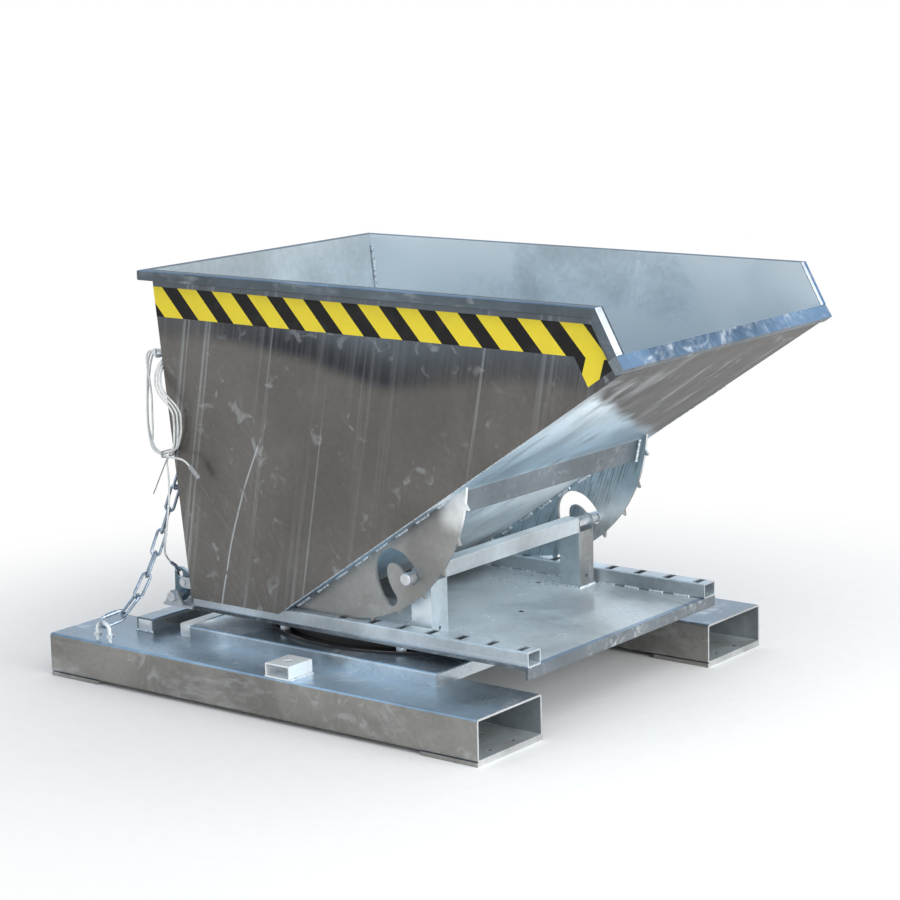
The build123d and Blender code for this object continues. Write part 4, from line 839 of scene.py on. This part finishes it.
class HOPPER_OT_welds(bpy.types.Operator):
    """Lays the weld beads on the hopper, the turntable and the base"""
    bl_idname = "hopper.welds"
    bl_label = "Weld beads"

    def execute(self, context):
        f = Finish("weld_zinc", metallic=0.6)
        patch = f.noise(160, 3)
        tone = f.scaled(tuple(context.scene.hopper_zinc.weld), f.ramp(patch, 0.3, 0.7, 0.75, 1.2))
        finish = f.done(Base_Color=tone, Roughness=f.ramp(patch, 0.3, 0.7, 0.25, 0.45),
                        Normal=f.bump(f.noise(700, 2), 0.2, 0.0004))
        self.hopper(finish)
        self.turntable(finish)
        self.base(finish)
        return {"FINISHED"}

    def hopper(self, finish):
        """Rockers, feet of the walls, ends of the stiffener and rear corners."""
        bm = bmesh.new()
        for side in (-1, 1):
            for face, below, size in ROCKER_FACES:
                weld(bm, *[on_floor(along, side * face, below) for along in ROCKER_RUN], size=size)
            foot = [on_floor(along, side * WALL_FACE, WALL_DEPTH) for along in WALL_RUN]
            weld(bm, *foot, size=0.45, stitched=False)
            leg = [on_floor(along, side * STIFFENER_END, below) for along, below in STIFFENER_LEG]
            weld(bm, *leg, size=1.2, stitched=False)
            corner = [mm(x, side * CORNER_SIDE, z) for x, z in (CORNER_FOOT, CORNER_HEAD)]
            weld(bm, *corner, size=1.1, stitched=False)
        as_piece("hopper_welds", bm, "hopper", finish)

    def turntable(self, finish):
        """Feet of the uprights, and inner sides of the rails."""
        bm = bmesh.new()
        for side in (-1, 1):
            foot = [mm(x, side * y, DECK_TOP) for x, y in UPRIGHT_FOOT]
            for start, end in zip(foot, foot[1:] + foot[:1]):
                weld(bm, start, end, size=1.1, stitched=False)
            for ends in RAIL_RUNS:
                weld(bm, *[mm(x, side * RAIL_SIDE, DECK_TOP) for x in ends])
        as_piece("turntable_welds", bm, "turntable", finish)

    def base(self, finish):
        """Ends of the keepers and of the rear beam on the fork tubes."""
        bm = bmesh.new()
        for side in (-1, 1):
            for end in (-1, 1):
                keeper = [mm(end * KEEPER_END, side * y, TUBE_TOP) for y in KEEPER_SIDES]
                weld(bm, *keeper, size=0.9, stitched=False)
            beam = [mm(x, side * BEAM_END, TUBE_TOP) for x in BEAM_RUN]
            weld(bm, *beam, size=0.9, stitched=False)
        as_piece("base_welds", bm, "base", finish)


class HOPPER_OT_cable_coil(bpy.types.Operator):
    """Winds the spare release cable on its hook, with its tail, tie and end sleeve"""
    bl_idname = "hopper.cable_coil"
    bl_label = "Cable coil"

    def execute(self, context):
        cable = context.scene.hopper_cable
        trim = context.scene.hopper_trim
        points = [mm(-378, -343, 459), mm(-368, -343, 466.5)]
        for turn in range(3):
            y = -343 - 8 * turn
            front = -350 - 2 * turn
            top = -296 - 11 * turn
            back = -467 + 7 * turn * turn
            behind = -313 - 8 * turn
            after_first = min(turn, 1)
            on_third = max(turn - 1, 0)
            points += [
                mm(-362 + 4 * after_first, y, 470 - 8 * after_first),
                mm(front, y, 502),
                mm(front + 1.4, y - 1, 526),
                mm(front - 0.5, y - 2, 549.5),
                mm(-389.5, y - 13.8, 586.6),
                mm(-408.3, y + 11, 625),
                mm(-402.3, top, 651.6),
                mm(-430, top, 653),
                mm(-466.3, top, 651.8),
                mm(back, behind, 569.3),
                mm(back - 1.5, behind - 1, 528),
                mm(back, behind - 2, 492),
                mm(-414 + 7 * on_third, y - 8 - 2 * on_third, 454.7 + 11 * on_third),
            ]
        points += [mm(-378, -367, 457.5), mm(-360.6, -365.7, 454.2), mm(-324.6, -364.7, 454.6),
                   mm(-313, -362, 441)]
        coil = spline("release_cable_coil", points, cable.size / 2)
        coil.data.materials.append(plastic_finish("cable_sheath", trim.sheath, 0.38).material)
        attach(coil, "hopper")
        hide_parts("cable_coil")
        plastic_finish("tie_plastic", trim.tie, 0.45).done(NODES["cable_tie"], NODES["cable_end_sleeve"])
        return {"FINISHED"}


class HOPPER_OT_cable_lead(bpy.types.Operator):
    """Hangs the release cable's lead from the coil down to the latch"""
    bl_idname = "hopper.cable_lead"
    bl_label = "Cable lead"

    def execute(self, context):
        cable = context.scene.hopper_cable
        points = [mm(-378, -343, 459), mm(-394.8, -343, 446.4), mm(-389, -344, 418), mm(-388, -345, 385),
                  mm(-391, -346, 345), mm(-398, -347, 303), mm(-408, -344, 266), mm(-425, -328, 240.5),
                  mm(-427.4, -308.5, 222.4)]
        line = spline("lead_line", points)
        tube = spline("lead_tube", points, cable.size / 2)
        graph = context.evaluated_depsgraph_get()
        read = bpy.data.meshes.new_from_object(line.evaluated_get(graph))
        skin = bpy.data.meshes.new_from_object(tube.evaluated_get(graph))
        path = [vert.co.copy() for vert in read.vertices]
        finish = bpy.data.materials["cable_sheath"]
        beyond = 1.0
        levels = [path[0].z + beyond, *LEAD_CUTS, path[-1].z - beyond]
        pairs = [("carriage", "hopper"), ("turntable", "carriage"), ("latch", "turntable")]
        names = ["upper", "middle", "lower"]
        for (high, low), (first, second), name in zip(zip(levels, levels[1:]), pairs, names):
            bm = bmesh.new()
            bm.from_mesh(skin)
            for level, way in ((high, 1), (low, -1)):
                bmesh.ops.bisect_plane(bm, geom=[*bm.verts, *bm.edges, *bm.faces], plane_co=(0, 0, level),
                                       plane_no=(0, 0, way), clear_outer=True)
            open_edges = [edge for edge in bm.edges if edge.is_boundary]
            bmesh.ops.holes_fill(bm, edges=open_edges, sides=0)
            bmesh.ops.recalc_face_normals(bm, faces=bm.faces)
            part = self.between(path, high, low)
            item = as_piece("release_cable_" + name, bm, None, finish)
            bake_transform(item)
            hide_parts("release_cable")
        for item in (line, tube):
            bpy.data.objects.remove(item)
        return {"FINISHED"}

    def between(self, path, high, low):
        """Part of the line between two levels, with its ends on them."""
        part = []
        for a, b in zip(path, path[1:]):
            for level in (high, low):
                if (a.z - level) * (b.z - level) < 0:
                    part.append(a.lerp(b, (a.z - level) / (a.z - b.z)))
            if low <= b.z <= high:
                part.append(b)
        return part if path[0].z > high else [path[0]] + part


class HOPPER_OT_stage(bpy.types.Operator):
    """Sets the floor, the soft light and the camera"""
    bl_idname = "hopper.stage"
    bl_label = "Stage"

    def execute(self, context):
        stage = context.scene.hopper_stage
        self.floor(stage)
        self.world(context, stage)
        self.lamp("key_lamp", *KEY_LAMP, stage.key, KEY_TINT)
        self.lamp("front_lamp", *FRONT_LAMP, stage.front, FRONT_TINT)
        self.camera(context, stage)
        context.scene.view_settings.view_transform = "Standard"
        return {"FINISHED"}

    def floor(self, stage):
        """Pale floor that fades to white away from the hopper, where it is seen or mirrored."""
        bm = bmesh.new()
        bmesh.ops.create_circle(bm, cap_ends=True, segments=96, radius=FLOOR_RADIUS)
        item = as_piece("floor", bm, None)
        f = Finish("floor_pale", rough=0.9)
        reach = f.node("VectorMath", {0: f.place}, output="Value", operation="LENGTH")
        speckle = f.scaled(tuple(stage.floor), f.ramp(f.noise(30, 3), 0.3, 0.7, 0.99, 1.01))
        f.done(item, Base_Color=speckle)
        far = f.maths("MULTIPLY", f.ramp(reach, *FLOOR_FADE), f.seen())
        glow = f.node("Emission", {"Color": (1, 1, 1, 1), "Strength": 1.0})
        mixed = f.node("MixShader", {0: far, 1: f.shader.outputs[0], 2: glow})
        f.wire(f.tree.nodes["Material Output"], {"Surface": mixed})

    def world(self, context, stage):
        """Even light on the pieces, and a sky that is white low down and blue above where it is seen."""
        world = bpy.data.worlds.new("soft_sky")
        context.scene.world = world
        world.use_nodes = True
        sky = Nodes(world.node_tree)
        lit = sky.tree.nodes["Background"]
        sky.wire(lit, {"Color": (*stage.even, 1), "Strength": stage.world})
        where = sky.node("TexCoord", {}, output="Generated")
        height = sky.node("SeparateXYZ", {0: where}, output="Z")
        tint = sky.blend(sky.ramp(height, *SKY_RISE), (1, 1, 1), stage.sky)
        shown = sky.node("Background", {"Color": tint})
        mixed = sky.node("MixShader", {0: sky.seen(), 1: lit.outputs[0], 2: shown})
        sky.wire(sky.tree.nodes["World Output"], {"Surface": mixed})

    def lamp(self, name, place, target, size, power, tint):
        """Area lamp that looks at a target."""
        light = bpy.data.lights.new(name, "AREA")
        light.size = size
        light.energy = power
        light.color = tint
        item = bpy.data.objects.new(name, light)
        item.location = place
        item.rotation_euler = (Vector(target) - Vector(place)).to_track_quat("-Z", "Y").to_euler()
        bpy.context.scene.collection.objects.link(item)

    def camera(self, context, stage):
        """Camera at the photo's place."""
        right = Vector((cos(CAMERA_TURN), sin(CAMERA_TURN), 0))
        level = cos(CAMERA_RISE)
        back = Vector((sin(CAMERA_TURN) * level, -cos(CAMERA_TURN) * level, sin(CAMERA_RISE)))
        up = back.cross(right)
        x = right * cos(CAMERA_ROLL) + up * sin(CAMERA_ROLL)
        y = up * cos(CAMERA_ROLL) - right * sin(CAMERA_ROLL)
        view = bpy.data.cameras.new("camera")
        view.lens = stage.lens
        view.sensor_width = SENSOR_WIDTH
        item = bpy.data.objects.new("camera", view)
        axes = Matrix((x, y, back)).transposed().to_4x4()
        item.matrix_world = Matrix.Translation(CAMERA_PLACE) @ axes
        context.scene.collection.objects.link(item)
        context.scene.camera = item


# Panel and registration

OPERATORS = (HOPPER_OT_stage, HOPPER_OT_zinc, HOPPER_OT_hardware, HOPPER_OT_rockers, HOPPER_OT_end_caps,
             HOPPER_OT_welds, HOPPER_OT_cable_coil, HOPPER_OT_cable_lead)
GROUPS = {"hopper_zinc": HopperZinc, "hopper_trim": HopperTrim, "hopper_cable": HopperCable,
          "hopper_weld": HopperWeld, "hopper_teeth": HopperTeeth, "hopper_stage": HopperStage}


class HOPPER_PT_panel(bpy.types.Panel):
    """Buttons for the hopper's pieces"""
    bl_idname = "HOPPER_PT_panel"
    bl_label = "Self-tipping hopper"
    bl_space_type = "VIEW_3D"
    bl_region_type = "UI"
    bl_category = "Hopper"

    def draw(self, context):
        for operator in OPERATORS:
            self.layout.operator(operator.bl_idname)
        for name, group in GROUPS.items():
            box = self.layout.box()
            for field in group.__annotations__:
                box.prop(getattr(context.scene, name), field)


def register():
    for made in (*GROUPS.values(), *OPERATORS, HOPPER_PT_panel):
        bpy.utils.register_class(made)
    for name, group in GROUPS.items():
        setattr(bpy.types.Scene, name, PointerProperty(type=group))


def unregister():
    for name in GROUPS:
        delattr(bpy.types.Scene, name)
    for made in (HOPPER_PT_panel, *OPERATORS, *GROUPS.values()):
        bpy.utils.unregister_class(made)


def main():
    register()
    bpy.ops.hopper.stage()
    bpy.ops.hopper.zinc()
    bpy.ops.hopper.hardware()
    bpy.ops.hopper.rockers()
    bpy.ops.hopper.end_caps()
    bpy.ops.hopper.welds()
    bpy.ops.hopper.cable_coil()
    bpy.ops.hopper.cable_lead()


if __name__ == "__main__":
    main()
